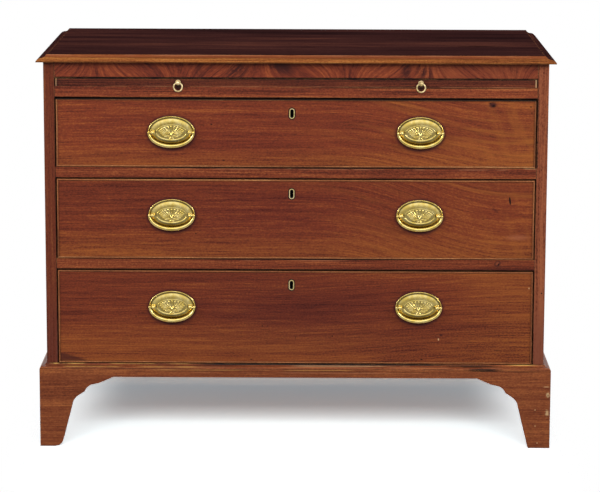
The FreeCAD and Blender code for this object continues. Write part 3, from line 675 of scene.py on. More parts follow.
def slide_extras(joints):
    """Marks of the slide and of the rail under it, with grime about the rings and painted shadow inside
    them.
    """
    low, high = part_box("slide_edging")
    rail_low, rail_high = levels("slide_rail")
    back = low.y + LIP_LINE_DEPTH
    rings = [middle(f"slide_ring_{side}").x for side in SIDES]
    # Painted shadow inside the rings
    ring_shadows = marks(BLACK, *((x, low.z - 0.001, 0.008, 0.008, 0.8) for x in rings))
    return {
        "slide_rail": [
            # Painted shade in the gap over the upper drawer
            joints, foot_line(BLACK, rail_low, 0.0012),
            head_line(DIRT_AND_SHADE, rail_high, 0.0025, 0.02, 0.49, 0.85, fade=0.15),
            *(mark(SMOKY, x, low.z - 0.003, 0.013, 0.012, 0.7, ragged=0.4) for x in rings), *ring_shadows],
        "slide_edging": [
            *(mark(SMOKY, x, low.z + 0.006, 0.016, 0.011, 0.8, ragged=0.4) for x in rings), *ring_shadows,
            # Painted shadow along the top of the lipping, in the gap under the frieze
            head_line(BLACK, high.z, 0.0016, back=back),
            line(DIRT_AND_SHADE, high.z - 0.0055, high.z - 0.0035, strength=0.45, back=back),
            line(ROSY, low.z, low.z + 0.001, -0.36, 1, 0.7, broken=20, back=back),
            upright_line(PALE, high.x - 0.0035, high.x - 0.001, strength=0.6, back=back),
            upright_line(PALE, low.x + 0.001, low.x + 0.003, strength=0.4, back=back),
            upright_line(BLACK, low.x + 0.005, low.x + 0.0065, strength=0.8, back=back)],
    }


def rail_extras(half, joints):
    """Marks of the frieze, of the rails between the drawers and of the stiles beside them."""
    frieze = levels("frieze_rail")[0]
    upper_low, upper_high = levels("upper_rail")
    lower_low, lower_high = levels("lower_rail")
    return {
        "frieze_rail": [
            # Painted shade in the gap over the slide
            joints, foot_line(BLACK, frieze, 0.0017), wash(RUSSET, "x", 0.05, 0.4, 0.5),
            *(feathers(x, frieze + rise, *looks) for x, rise, *looks in FEATHERS)],
        "upper_rail": [
            # Painted shade in the gap over the middle drawer
            joints, foot_line(BLACK, upper_low, 0.0012, strength=0.8),
            mark(PALE, -0.012, 0.5735, 0.009, 0.0012),
            # Painted shadow under the upper drawer's bottom bead
            head_line(BLACK, upper_high, 0.0022, -0.3, 0.32, 0.95, fade=0.08),
            line(ROSY, upper_high - 0.0042, upper_high - 0.0024, -0.25, 0.43, 0.55, broken=24),
            head_line(PALE, upper_high, 0.0014, 0.43, 0.48, 0.75, broken=24)],
        "lower_rail": [
            # Painted shade in the gap over the bottom drawer
            joints, foot_line(BLACK, lower_low, 0.0016, strength=0.9),
            # Painted shadow under the middle drawer's bottom bead, in two tones
            head_line(BLACK, lower_high, 0.0018, -0.19, 0.2, 0.9, fade=0.06),
            head_line(DIRT_AND_SHADE, lower_high, 0.0014, -0.48, 0.3, 0.6, fade=0.06),
            line(ROSY, lower_high - 0.0038, lower_high - 0.002, -0.1, 0.1, 0.5, broken=24),
            mark(SMOKY, 0.4085, 0.3797, 0.0085, 0.0068, 0.9, soft=0.4, turn=0.7, ragged=0.4),
            mark(RUSSET, 0.4085, 0.3805, 0.006, 0.0042, 0.9, soft=0.6, turn=0.7),
            mark(BLACK, 0.4105, 0.3785, 0.0016, 0.0042, turn=-0.5)],
        "stiles": [
            # Painted shadow along the stiles' inner edges, and in the gap beside the upper drawer
            upright_line(DIRT_AND_SHADE, -half - 0.0012, -half + 0.001, strength=0.8),
            upright_line(DIRT_AND_SHADE, half - 0.001, half + 0.0012, strength=0.8),
            upright_line(BLACK, half - 0.001, half + 0.0028, *levels("upper_drawer_front")),
            wash(SUNNED, "x", 0, 0.2, 0.6), wash(SMOKY, "x", 0, -0.2, 0.4), wash(PLUM, "z", 0.36, 0.2, 0.5),
            mark(BLACK, 0.499, 0.3194, 0.0025, 0.0022)],
    }


def drawer_extras():
    upper_low, middle_low, bottom_low = (levels(f"{drawer}_drawer_front")[0] for drawer in DRAWERS)
    bead_low, bead_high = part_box("upper_drawer_cockbeads")
    extras = {
        "upper_drawer_cockbeads": [
            # Painted shade in the gap over the upper drawer
            head_line(BLACK, bead_high.z, 0.0018, back=bead_low.y + BEAD_LINE_DEPTH)],
        "upper_drawer_front": [
            wash(GOLDEN, "z", upper_low + 0.05, upper_low, 0.4), wash(GOLDEN, "x", 0.15, 0.47, 0.12),
            ripple(0.3, 0.48, 0.3), streaks(-0.1, 0.46, 0.09, 0.5),
            shaded((0.85, 0.79, 0.9), -0.2, 0.645, 0.4, 0.12),
            mark(SMOKY, 0.3943, 0.7036, 0.011, 0.0085, ragged=0.7),
            *marks(
                BLACK, (-0.1696, 0.6618, 0.0026, 0.0022, 0.8), (-0.1448, 0.5896, 0.0045, 0.0014, 0.9),
                (-0.0994, 0.5775, 0.003, 0.0022, 0.8), (0.3955, 0.7015, 0.0045, 0.003),
                (0.389, 0.7065, 0.0028, 0.002, 0.8), (0.4704, 0.6999, 0.0022, 0.0022),
                (0.4726, 0.6878, 0.0018, 0.0018))],
        "middle_drawer_front": [
            wash(GOLDEN, "z", middle_low + 0.07, middle_low, 0.4), wash(GOLDEN, "x", 0.25, 0.47, 0.05),
            ripple(0.32, 0.48, 0.2), streaks(-0.1, 0.46, 0.12, 0.4),
            shaded((0.82, 0.74, 0.92), -0.03, 0.475, 0.4, 0.14),
            mark(BLACK, -0.2016, 0.4394, 0.0024, 0.002, 0.8),
            mark(BLACK, 0.4317, 0.509, 0.0026, 0.0105, turn=0.15, soft=0.5),
            mark(SMOKY, 0.402, 0.49, 0.012, 0.004, 0.45, turn=-0.7, ragged=0.6),
            shaded((0.88, 0.78, 0.9), 0.41, 0.497, 0.08, 0.045),
            mark(SUNNED, 0.449, 0.434, 0.034, 0.009, 0.6, soft=0.9, ragged=0.5)],
        "bottom_drawer_front": [
            wash(GOLDEN, "z", bottom_low + 0.12, bottom_low, 0.3), wash(GOLDEN, "x", 0.25, 0.47, 0.35),
            mark(SMOKY, 0.2964, 0.2323, 0.0052, 0.003, ragged=0.5),
            mark(PALE, 0.2912, 0.2229, 0.0018, 0.0035),
            *marks(BLACK, (0.2571, 0.1811, 0.0035, 0.0018), (0.0755, 0.229, 0.0018, 0.0018)),
            shaded((0.73, 0.69, 0.89), 0, 0.27, 0.42, 0.16),
            *marks(
                BLACK, (0.0006, 0.2255, 0.001, 0.006, 0.6), (-0.067, 0.2495, 0.0022, 0.002, 0.7),
                (-0.0569, 0.2495, 0.0018, 0.0018, 0.6), (-0.3234, 0.268, 0.0018, 0.003, 0.6),
                (-0.0892, 0.1797, 0.003, 0.0018, 0.8), (0.4114, 0.2003, 0.012, 0.0012, 0.6)),
            mark(PALE, 0.4735, 0.3296, 0.0016, 0.0026, 0.8),
            mark(SMOKY, -0.485, 0.172, 0.09, 0.024, 0.8, soft=0.25, turn=-0.16, ragged=0.15)],
    }
    for drawer in DRAWERS:
        extras[f"{drawer}_drawer_front"] += [polish_and_shadow_halo(drawer), keyhole_shade_and_grime(drawer)]
    return extras


def base_extras():
    top = BASE_HIGH.z
    return {
        "base_mouldings": [
            head_line(GILT, top, 0.0022, -0.515, -0.44, 0.9, broken=30),
            head_line(GILT, top, 0.0016, -0.44, -0.2, 0.5, broken=20),
            # Painted shadow under the bottom drawer's bead
            head_line(BLACK, top, 0.0026, -0.2, 0.31, 0.97, fade=0.05),
            head_line(GILT, top, 0.002, 0.442, 0.482, 0.9),
            line(ROSY, top - 0.0062, top - 0.005, -0.3, 0.5, 0.5, broken=14),
            line(GILT, top - 0.0065, top - 0.0048, -0.5, -0.2, 0.45, broken=16),
            line(PALE, top - 0.0045, top - 0.0032, 0, 0.22, 0.5, broken=12),
            line(DIRT_AND_SHADE, top - 0.009, top - 0.0076, -0.46, 0.32, 0.6, broken=10),
            mark(BLACK, 0.36, top - 0.003, 0.075, 0.0028, 0.85, ragged=0.9),
            mark(BLACK, 0.385, top - 0.0085, 0.05, 0.003, 0.95, ragged=0.9)],
        "base_front": [
            mark(BLACK, 0.385, top - 0.0105, 0.05, 0.003, 0.9, ragged=0.9),
            mark(BLACK, 0.46, top - 0.0122, 0.055, 0.0014, 0.7, ragged=0.6),
            line(GILT, top - 0.0118, top - 0.0104, -0.3, 0.12, 0.4, broken=18),
            line(DIRT_AND_SHADE, top - 0.0148, top - 0.0132, -0.34, 0.36, 0.5, broken=14),
            line(ROSY, top - 0.0172, top - 0.0152, -0.2, 0.25, 0.4, broken=11),
            mark(PALE, 0.515, 0.1115, 0.005, 0.0065, 0.85, ragged=1.6),
            mark(SMOKY, 0.5152, 0.111, 0.0022, 0.0026, 0.8),
            mark(PALE, 0.5137, 0.0738, 0.0045, 0.009, 0.7, ragged=2),
            *marks(
                PALE, (0.4892, 0.08, 0.0016, 0.0016), (0.4898, 0.0464, 0.0015, 0.0015),
                (0.4946, 0.0107, 0.0016, 0.0016), (0.5115, 0.1282, 0.009, 0.0012, 0.7))],
    }


# Woods on their nodes

RAIL_TONE_LEVELS = dict(slide=1.1, upper=0.98, lower=0.95)
STILE_TONE_LEVEL = 0.9
LIPPING_TONE_LEVEL = 0.88
DRAWER_TONE_LEVELS = dict(upper=0.92, middle=0.84, bottom=0.82)
DRAWER_SWOOPS = dict(upper=(0.08, 0.46, 0.06), middle=(0.06, 0.44, 0.085), bottom=(-0.1, 0.46, -0.02))


def mahogany_looks():
    looks = {
        "top_board": dict(tones=TOP_TONES, layers=TOP_LAYERS, specular=0, gloss=0.55),
        **{f"side_{side}": dict(tones=CASE_TONES, grain=grain_z) for side in SIDES},
        "stiles": dict(tones=scaled(CASE_TONES, STILE_TONE_LEVEL), grain=grain_z, layers=RAIL_LAYERS),
        "frieze_rail": dict(
            tones=FRIEZE_TONES, layers=FRIEZE_LAYERS, reach=FRIEZE_CORNER_REACH,
            figure=crotch(middle("frieze_rail").z)),
        **{f"{rail}_rail": dict(tones=scaled(CASE_TONES, level), layers=RAIL_LAYERS)
           for rail, level in RAIL_TONE_LEVELS.items()},
        "top_mouldings": dict(
            tones=MOULDING_TONES, grain=moulding_grain(TOP_HIGH.x, TOP_LOW.y), layers=RAIL_LAYERS,
            specular=0),
        "base_mouldings": dict(
            tones=BASE_TONES, grain=moulding_grain(BASE_HIGH.x, BASE_LOW.y), layers=RAIL_LAYERS),
        "base_front": dict(tones=BASE_TONES),
        **{f"base_{side}": dict(tones=BASE_TONES, grain=grain_y) for side in SIDES},
        "slide_panel": dict(tones=SLIDE_TONES),
        "slide_edging": dict(
            tones=scaled(SLIDE_TONES, LIPPING_TONE_LEVEL), grain=edging_grain, layers=RAIL_LAYERS),
    }
    for drawer in DRAWERS:
        looks[f"{drawer}_drawer_front"] = dict(
            tones=scaled(DRAWER_TONES, DRAWER_TONE_LEVELS[drawer]), figure=swoop(*DRAWER_SWOOPS[drawer]))
    for drawer in DRAWERS:
        beads = f"{drawer}_drawer_cockbeads"
        looks[beads] = dict(tones=BEAD_TONES, grain=bead_grain(*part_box(beads)))
    return looks


def oak_looks():
    looks = {}
    for drawer in DRAWERS:
        for side in SIDES:
            looks[f"{drawer}_drawer_side_{side}"] = dict(grain=grain_y)
        for part in ("back", "panel"):
            looks[f"{drawer}_drawer_{part}"] = {}
    return looks


def pine_looks():
    boards = (*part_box("backboards"), BACKBOARD_COUNT)
    return {
        "carcase_floor": {},
        "dustboards": {},
        "kickers": dict(grain=grain_y),
        "drawer_stops": {},
        "backboards": dict(grain=board_grain(*boards), extras=[board_joints(*boards)]),
        # The foot blocks in painted shade
        "foot_blocks": dict(tones=FOOT_BLOCK_SHADE_TONES, grain=grain_z),
    }


def dress(node, material):
    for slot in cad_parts[node].material_slots:
        slot.material = material


def dress_woods():
    rail_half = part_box("upper_drawer_front")[1].x + RAIL_PAST_DRAWER
    joints = seams(rail_half)
    extras = top_extras() | slide_extras(joints) | rail_extras(rail_half, joints)
    extras |= drawer_extras() | base_extras()
    mahogany = dict(worn=WORN_TONE, flecks=MAHOGANY_FLECKS)
    oak = dict(tones=OAK_TONES, worn=WORN_PINE_TONE, layers=OAK_LAYERS, pores=OAK_PORES, gloss=0.62)
    pine = dict(tones=PINE_TONES, worn=WORN_PINE_TONE, layers=PINE_LAYERS, pores=PINE_PORES, gloss=0.7)
    for usual, nodes in ((mahogany, mahogany_looks()), (oak, oak_looks()), (pine, pine_looks())):
        for seed, (node, looks) in enumerate(nodes.items(), start=1):
            marked = dict(extras=extras.get(node, ()))
            dress(node, wood(node, seed, **(usual | marked | looks)))


# Metals

BRASS = tone(212, 184, 95)
BRASS_PALE = tone(233, 211, 137)
# Tarnish and grime of the brass, also the colour of its painted shade
BRASS_DIRT_AND_SHADE = tone(62, 44, 14)
RUBBED_BRASS = tone(200, 176, 120)
LINER_BRASS = tone(253, 228, 174)
LOCK_BRASS = tone(160, 128, 66)
LOCK_STEEL = tone(108, 104, 98)
STEEL_PALE = tone(150, 146, 138)
# Rust of the steel, also the colour of its painted shade in corners
STEEL_RUST_AND_SHADE = tone(74, 50, 36)
METAL_CORNER_REACH = 0.003
METAL_RADIUS = 0.0006
METAL_DEPTH = 0.00008
BLOTCH_SCALE = 90
BLOTCH_SPAN = (0.35, 0.65)
GRIT_SCALE = 1260
TARNISH_GRIT_SHARE = 0.4
TARNISH_SPAN = (0.56, 0.72)
TARNISH_SHARE = 0.35
RELIEF_GRIT_SHARE = 0.3
RUBBED_SHARE = 0.6
METAL_GLOSS_SWING = 0.25
METAL_DIRT_DULLNESS = 0.25
# Attribute of the plates: patina in their hollows, and painted shade under the medallion and beside the
# posts
PATINA_AND_SHADE_ATTRIBUTE = "shade_and_patina"


def metal(name, base, pale, dirt_and_shade_tone, gloss, dirt_and_shade_share=0.6, metallic=1, extra=None):
    """Old metal: brighter where it is rubbed, dull and dark in its hollows and corners with patina, grime
    and painted shade.
    """
    paint = new_paint(name)
    blotch, grit = (
        paint.noise([axis * scale for axis in (paint.x, paint.y, paint.z)], detail=4)
        for scale in (BLOTCH_SCALE, GRIT_SCALE))
    shade_and_patina = paint.out("ShaderNodeAttribute", "Fac", attribute_name=PATINA_AND_SHADE_ATTRIBUTE)
    normal, wear, corner_dirt_and_shade = paint.edges(METAL_RADIUS, METAL_CORNER_REACH)
    tarnish = blotch * (1 - TARNISH_GRIT_SHARE) + grit * TARNISH_GRIT_SHARE
    colour = paint.mix(paint.span(blotch, *BLOTCH_SPAN), base, pale)
    colour = paint.mix(paint.span(tarnish, *TARNISH_SPAN) * TARNISH_SHARE, colour, dirt_and_shade_tone)
    colour = paint.mix(wear * RUBBED_SHARE, colour, pale)
    # Patina and grime in the hollows, with painted shade in the corners, and on the plates under the
    # medallion and beside the posts
    colour = paint.mix(paint.math("MAXIMUM", corner_dirt_and_shade, shade_and_patina) * dirt_and_shade_share, colour, dirt_and_shade_tone)
    if extra:
        colour = extra(paint, colour, blotch)
    roughness = gloss + (blotch - 0.5) * METAL_GLOSS_SWING + corner_dirt_and_shade * METAL_DIRT_DULLNESS
    relief = blotch * (1 - RELIEF_GRIT_SHARE) + grit * RELIEF_GRIT_SHARE
    return paint.finish(colour, roughness, relief, METAL_DEPTH, normal, metallic=metallic)


def dress_metals():
    brass = metal("brass", BRASS, BRASS_PALE, BRASS_DIRT_AND_SHADE, gloss=0.24, dirt_and_shade_share=0.8)
    slide_brass = metal(
        "slide_brass", RUBBED_BRASS, LINER_BRASS, BRASS_DIRT_AND_SHADE, gloss=0.3, dirt_and_shade_share=0.85, metallic=0.6)
    lock_steel = metal("lock_steel", LOCK_STEEL, STEEL_PALE, STEEL_RUST_AND_SHADE, gloss=0.5)
    for drawer in DRAWERS:
        dress(f"{drawer}_drawer_escutcheon", metal(
            f"{drawer}_liner_brass", LINER_BRASS, BRASS_PALE, BRASS_DIRT_AND_SHADE, gloss=0.3, metallic=0.3,
            extra=liner_shade_and_grime(drawer)))
        dress(f"{drawer}_drawer_lock_case", metal(
            f"{drawer}_lock_brass", LOCK_BRASS, BRASS, BRASS_DIRT_AND_SHADE, gloss=0.42, extra=keyhole_shade_and_grime(drawer)))
        dress(f"{drawer}_drawer_lock_bolt", lock_steel)
        for side in SIDES:
            dress(f"{drawer}_drawer_bail_{side}", brass)
    for side in SIDES:
        dress(f"slide_ring_{side}", slide_brass)
    dress("slide_knobs", slide_brass)
    return brass, lock_steel


# Pieces modelled here

SMOOTH_ANGLE = math.radians(40)


class Shape:
    """The points and faces of a mesh that is being made."""

    def __init__(self):
        self.points = []
        self.patina_and_shade_shares = []
        self.faces = []

    def skin(self, rings, patina_and_shade_shares=None):
        """Join rings of as many points each, and close the two ends; the shares say where patina gathers in
        hollows and where shade is painted.
        """
        first = len(self.points)
        count = len(rings[0])
        for ring in rings:
            self.points.extend(ring)
        self.patina_and_shade_shares.extend(np.ravel(patina_and_shade_shares) if patina_and_shade_shares else [0] * (count * len(rings)))
        for row in range(len(rings) - 1):
            for column in range(count):
                after = (column + 1) % count
                near, far = first + row * count, first + (row + 1) * count
                self.faces.append((near + column, near + after, far + after, far + column))
        last = first + (len(rings) - 1) * count
        self.faces.append(tuple(range(first, first + count)))
        self.faces.append(tuple(reversed(range(last, last + count))))

    def turned(self, centre, profile, plane=0, count=28, start=0):
        """A shape turned about a line from back to front; the profile gives y from a plane, and radius."""
        x, z = centre
        angles = [start + math.tau * index / count for index in range(count)]
        self.skin([
            [(x + radius * math.cos(angle), plane + y, z + radius * math.sin(angle)) for angle in angles]
            for y, radius in profile])

    def mesh(self, name):
        made = bpy.data.meshes.new(name)
        made.from_pydata(self.points, [], self.faces)
        work = bmesh.new()
        work.from_mesh(made)
        bmesh.ops.recalc_face_normals(work, faces=work.faces)
        for face in work.faces:
            face.smooth = True
        for edge in work.edges:
            edge.smooth = edge.calc_face_angle(0) < SMOOTH_ANGLE
        work.to_mesh(made)
        work.free()
        if any(self.patina_and_shade_shares):
            made.attributes.new(PATINA_AND_SHADE_ATTRIBUTE, "FLOAT", "POINT").data.foreach_set("value", self.patina_and_shade_shares)
        return made


def add_piece(name, mesh, material, body, place=(0, 0, 0)):
    piece = link(bpy.data.objects.new(name, mesh))
    piece.location = place
    if not mesh.materials:
        mesh.materials.append(material)
    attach(piece, body)
    return piece


# Pulls: a stamped oval plate on two posts, with nuts behind the drawer's front

# Shares of the plate's half height taken off its outline, and heights in millimetres
PLATE_PROFILE = (
    (0, 0), (0, 1.5), (0.006, 2.05), (0.018, 2.45), (0.032, 2.6), (0.046, 2.5), (0.058, 2.1), (0.068, 1.5),
    (0.08, 0.95), (0.095, 0.6), (0.11, 0.5), (0.13, 0.6), (0.16, 0.85), (0.2, 1.25), (0.24, 1.65),
    (0.28, 2.0), (0.32, 2.32), (0.36, 2.58), (0.4, 2.78), (0.44, 2.92), (0.475, 3.0), (0.5, 3.0),
    (0.515, 2.85), (0.525, 2.55), (0.535, 2.5), (0.547, 2.75), (0.56, 2.85))
PLATE_POINTS = 168
MEDALLION_RINGS = 30
MEDALLION_EYE_SHARE = 0.4
MEDALLION_HEIGHT = 2.7
MEDALLION_CROWN = 0.35
RELIEF_HEIGHT = 1.0
GROOVE_LEVELS = (0.6, 1.1)
# Painted shade on the lower half of the band, under the medallion and the bail: the band's insets and the
# share
BAND_INSETS = (0.15, 0.46)
BAND_SHADE = 0.95
GROUND_HOLLOW = 0.34
# Painted shade beside each post, towards the medallion: place and half sizes in millimetres
POST_SHADE = dict(x=32.4, width=2.6, height=3.2)
FAN_RAYS = 11
FAN_SPREAD = math.radians(164)
FAN_ROOT = (0, -0.62)
RAY_REACH = (0.82, 0.76)
RAY_START_SHARE = 0.36
RAY_WIDTHS = (0.5, 1.2)
RAY_HEIGHT = 0.7
BEAD_RADIUS = 1.7
BEAD_LENGTH = 0.01

# Stem, foot, fork and leaves: ends as shares of the medallion, widths in millimetres, share of the height
STEM_RIDGES = (
    ((0, -0.92), (0, -0.42), (1.7, 1.2), 1),
    ((0, -0.76), (0.15, -0.95), (1.1, 0.6), 0.9),
    ((0, -0.5), (0.2, 0.22), (1.2, 0.8), 1),
    ((0.1, -0.56), (0.74, -0.16), (0.5, 1.1), 0.7),
    ((0.1, -0.64), (0.62, -0.42), (0.5, 1.1), 0.7),
    ((0.12, -0.74), (0.46, -0.66), (0.5, 1.0), 0.7),
)

POST_HALF_SPACING = 0.038
BALL_RADIUS = 4.0 * MM
BALL_ANGLES = np.linspace(0.12, 2.45, 13)
NUT_PROFILE = ((0, 5.6 * MM), (0, 6.9 * MM), (3.2 * MM, 6.9 * MM), (4 * MM, 5.9 * MM))

# A post behind its ball: the planes that its steps are measured from, distances and radii in millimetres
POST_STEPS = (
    ("pivot", 4.1, 2.3), ("face", -3.0, 2.3), ("face", -2.8, 4.3), ("face", -1.9, 4.3), ("face", 0, 3.4),
    ("face", 0, 2.3), ("inner", 0, 2.2), ("end", -0.4, 2.2), ("end", 0, 1.6))


def ridge(x, z, start, end, start_width, end_width):
    """Height of a rounded ridge between two points, from 0 to 1."""
    step = np.subtract(end, start)
    share = np.clip(((x - start[0]) * step[0] + (z - start[1]) * step[1]) / (step @ step), 0, 1)
    away = np.hypot(x - start[0] - share * step[0], z - start[1] - share * step[1])
    width = start_width + (end_width - start_width) * share
    return np.sqrt(np.clip(1 - (away / width) ** 2, 0, 1))


def fan_relief(x, z, half_width, half_height):
    """A fan of rays with beaded tips on a forked stem, over leaves at both sides."""
    def place(point, side=1):
        return side * point[0] * half_width, point[1] * half_height

    relief = np.zeros_like(x)
    root = np.array(place(FAN_ROOT))
    for index in range(FAN_RAYS):
        angle = FAN_SPREAD * (index / (FAN_RAYS - 1) - 0.5)
        tip = np.array(place((RAY_REACH[0] * math.sin(angle), RAY_REACH[1] * math.cos(angle))))
        heart = root + RAY_START_SHARE * (tip - root)
        relief = np.maximum(relief, RAY_HEIGHT * ridge(x, z, heart, tip, *RAY_WIDTHS))
        relief = np.maximum(relief, ridge(x, z, tip, tip + BEAD_LENGTH, BEAD_RADIUS, BEAD_RADIUS))
    for first, last, widths, height in STEM_RIDGES:
        for side in (-1, 1):
            carved = ridge(x, z, place(first, side), place(last, side), *widths)
            relief = np.maximum(relief, height * carved)
    return relief


def plate_rings(centre, half_width, half_height, face):
    """Rings of the plate from its back edge over its rim and band to the middle of its medallion."""
    angles = np.arange(PLATE_POINTS) * math.tau / PLATE_POINTS
    cosines, sines = np.cos(angles), np.sin(angles)
    rings, patina_and_shade_shares = [], []
    for inset, height in PLATE_PROFILE:
        wide, tall = half_width - inset * half_height, half_height * (1 - inset)
        rings.append((wide * cosines, tall * sines, np.full(PLATE_POINTS, height * MM)))
        # Patina in the groove and on the medallion's ground; painted shade on the lower half of the band
        # and beside the posts
        groove = np.interp(height, GROOVE_LEVELS, (1, 0)) if inset else 0
        band = BAND_SHADE if BAND_INSETS[0] < inset < BAND_INSETS[1] else 0
        right = (np.abs(wide * cosines) / MM - POST_SHADE["x"]) / POST_SHADE["width"]
        up = tall * sines / MM / POST_SHADE["height"]
        beside = np.exp(-right * right - up * up)
        patina_and_shade_shares.append(np.maximum(np.maximum(groove, band * np.maximum(0, -sines)), beside))
    for index in range(1, MEDALLION_RINGS + 1):
        share = 1 - index / (MEDALLION_RINGS + MEDALLION_EYE_SHARE)
        x, z = share * wide * cosines, share * tall * sines
        carved = fan_relief(x / MM, z / MM, wide / MM, tall / MM)
        height = MEDALLION_HEIGHT + MEDALLION_CROWN * (1 - share * share) + RELIEF_HEIGHT * carved
        rings.append((x, z, height * MM))
        patina_and_shade_shares.append(GROUND_HOLLOW * (1 - carved))
    return [[(centre + x, face - up, z) for x, z, up in zip(*ring)] for ring in rings], patina_and_shade_shares


def post_profile(**planes):
    """A turned post from its ball at the front to its end behind the nut, as y and radius."""
    pivot = planes["pivot"]
    ball = [
        (pivot - BALL_RADIUS * math.cos(angle), BALL_RADIUS * math.sin(angle)) for angle in BALL_ANGLES]
    return ball + [(planes[plane] + step * MM, radius * MM) for plane, step, radius in POST_STEPS]


def pull_mesh():
    """Both pulls of a drawer but for their bails, about the height of the pivots."""
    low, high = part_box("upper_drawer_pull_mounts")
    bail = middle("upper_drawer_bail_right")
    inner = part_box("upper_drawer_front")[1].y
    shape = Shape()
    for side in (-1, 1):
        centre = side * bail.x
        shape.skin(*plate_rings(centre, high.x - bail.x, (high.z - low.z) / 2, FACE_Y))
        for way in (-1, 1):
            axis = (centre + way * POST_HALF_SPACING, 0)
            shape.turned(axis, post_profile(face=FACE_Y, pivot=bail.y, inner=inner, end=high.y))
            shape.turned(axis, NUT_PROFILE, inner, count=6, start=way)
    return shape.mesh("pull_mounts")


def add_pulls(brass):
    mesh = pull_mesh()
    for drawer in DRAWERS:
        node = f"{drawer}_drawer_pull_mounts"
        place = (0, 0, middle(node).z)
        piece = add_piece(f"{drawer}_drawer_pulls", mesh, brass, f"{drawer}_drawer", place)
        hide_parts(node)


# Screws and nails

SCREW_INSET = 0.006
FLANGE_THICKNESS = 0.0015
SCREW_HEAD = ((0, 3.2 * MM), (0.5 * MM, 3.1 * MM), (0.9 * MM, 2.4 * MM), (1.1 * MM, 1.2 * MM))
NAIL_HEAD = ((0, 2.6 * MM), (0.3 * MM, 2.4 * MM), (0.45 * MM, 1.4 * MM))
NAIL_INSETS = (0.011, 0.014)
NAIL_SHARES = (0.16, 0.5, 0.84)
NAIL_STRAY = 0.006
NAIL_SEED = 4


def add_screws(lock_steel):
    """Four screws in the flange of each lock."""
    for drawer in DRAWERS:
        low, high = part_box(f"{drawer}_drawer_lock_case")
        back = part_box(f"{drawer}_drawer_front")[1].y + FLANGE_THICKNESS
        shape = Shape()
        for x in (low.x + SCREW_INSET, high.x - SCREW_INSET):
            for z in (low.z + SCREW_INSET, high.z - SCREW_INSET):
                shape.turned((x, z), SCREW_HEAD, back, count=16)
        add_piece(
            f"{drawer}_drawer_lock_screws", shape.mesh("lock_screws"), lock_steel, f"{drawer}_drawer")


def add_nails(lock_steel):
    """Nails along the ends of the backboards."""
    low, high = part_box("backboards")
    board = (high.z - low.z) / BACKBOARD_COUNT
    chance = random.Random(NAIL_SEED)
    shape = Shape()
    for row in range(BACKBOARD_COUNT):
        for share in NAIL_SHARES:
            for x in (low.x + NAIL_INSETS[0], high.x - NAIL_INSETS[1]):
                z = low.z + (row + share) * board + chance.uniform(-NAIL_STRAY, NAIL_STRAY)
                shape.turned((x, z), NAIL_HEAD, high.y, count=10)
    add_piece("backboard_nails", shape.mesh("backboard_nails"), lock_steel, "carcase")


# Stage and light

STAGE_RADIUS = 9
STAGE_CORE = (0.36, 0.52)
STAGE_FADE = (0.22, 0.28)
FLOOR_SHOWN = (3.4, 3.85, 3.95)
FLOOR_GLOSS = 1.2
FLOOR_BOUNCE = 0.8
FLOOR_LIFT = 0.185
FLOOR_LIFT_TINT = (0.84, 1, 1.15, 1)
AMBIENT_FRONT = 0.32
AMBIENT_BACK = 0.03
GLOSS_LEVEL = 0.48
GLOSS_ABOVE = 1.9
BEHIND_SPAN = (-0.65, -0.05)
ABOVE_SPAN = (0.05, 0.65)

LIGHTS = (
    dict(name="key_box", place=(0, -4.6, 2.5), size=(4.4, 1.2), power=99, in_gloss=False),
    *(dict(name=f"{side}_box", place=(x, -2.3, 2.2), size=(1.1, 1.1), power=75, on_floor=False)
      for side, x in zip(SIDES, (-3.6, 3.6))),
    dict(name="overhead", place=(0, -0.6, 3.2), size=(2.4, 2.0), power=8, on_floor=False),
    dict(name="back_box", place=(0, 3.2, 3.6), size=(2.2, 1.4), power=110, on_floor=False),
)
LIGHT_AIM = (0, 0, 0.4)


def rays(paint):
    """1 for what the camera sees, and 1 for that and for what gloss and glass show."""
    path = paint.add("ShaderNodeLightPath").outputs
    camera, gloss, glass = (
        Wire(paint, path[f"Is {kind} Ray"]) for kind in ("Camera", "Glossy", "Transmission"))
    return camera, paint.math("MAXIMUM", camera, paint.math("MAXIMUM", gloss, glass))


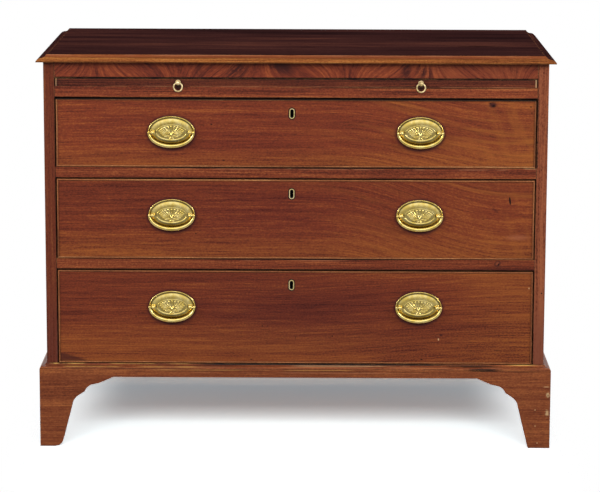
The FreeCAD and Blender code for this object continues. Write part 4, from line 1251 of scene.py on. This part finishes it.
def add_stage():
    """A white floor that keeps the shadow and melts into the white about it."""
    shape = Shape()
    shape.points = [
        (STAGE_RADIUS * x, STAGE_RADIUS * y, 0) for x, y in ((-1, -1), (1, -1), (1, 1), (-1, 1))]
    shape.faces = [(0, 1, 2, 3)]
    floor = link(bpy.data.objects.new("floor", shape.mesh("floor")))
    paint = new_paint("floor")
    camera, seen = rays(paint)
    unseen = either(seen, FLOOR_BOUNCE, FLOOR_GLOSS)
    colour = paint.vector(*(either(camera, unseen, shown) for shown in FLOOR_SHOWN))
    beside, before = (
        paint.math("MAXIMUM", abs(value) - half, 0) / fade
        for value, half, fade in zip((paint.x, paint.y), STAGE_CORE, STAGE_FADE))
    away = paint.math("SQRT", beside * beside + before * before)
    matt = paint.out("ShaderNodeBsdfDiffuse", 0, {"Color": colour})
    lift = paint.out("ShaderNodeEmission", 0, {"Color": FLOOR_LIFT_TINT, "Strength": seen * FLOOR_LIFT})
    lit = paint.out("ShaderNodeAddShader", 0, {0: matt, 1: lift})
    clear = paint.out("ShaderNodeBsdfTransparent", 0)
    faded = paint.out("ShaderNodeMixShader", 0, {0: paint.span(away, 0, 1), 1: lit, 2: clear})
    floor.data.materials.append(paint.close(faded, "ShaderNodeOutputMaterial"))
    return floor


def add_world():
    """White to the camera, a room with a white end behind the part to gloss, even light to the rest."""
    world = bpy.data.worlds.new("studio")
    bpy.context.scene.world = world
    paint = Paint(world, "Generated")
    camera, seen = rays(paint)
    behind = paint.span(paint.y, *BEHIND_SPAN)
    gloss = either(behind, either(paint.span(paint.z, *ABOVE_SPAN), GLOSS_LEVEL, GLOSS_ABOVE), 1)
    even = either(behind, AMBIENT_FRONT, AMBIENT_BACK)
    light = paint.out("ShaderNodeBackground", 0, {
        "Color": (1, 1, 1, 1), "Strength": either(camera, either(seen, even, gloss), 1)})
    paint.close(light, "ShaderNodeOutputWorld")


def add_lights(floor):
    unlit = bpy.data.collections.new("unlit")
    unlit.objects.link(floor)
    unlit.collection_objects[0].light_linking.link_state = "EXCLUDE"
    for light in LIGHTS:
        data = bpy.data.lights.new(light["name"], "AREA")
        data.shape = "RECTANGLE"
        data.size, data.size_y = light["size"]
        data.energy = light["power"]
        lamp = link(bpy.data.objects.new(light["name"], data))
        lamp.location = light["place"]
        lamp.rotation_euler = (Vector(LIGHT_AIM) - lamp.location).to_track_quat("-Z", "Y").to_euler()
        lamp.visible_glossy = light.get("in_gloss", True)
        if not light.get("on_floor", True):
            lamp.light_linking.receiver_collection = unlit


bpy.context.scene.view_settings.view_transform = "Standard"
add_camera()
floor = add_stage()
add_world()
add_lights(floor)
dress_woods()
brass, lock_steel = dress_metals()
add_pulls(brass)
add_screws(lock_steel)
add_nails(lock_steel)
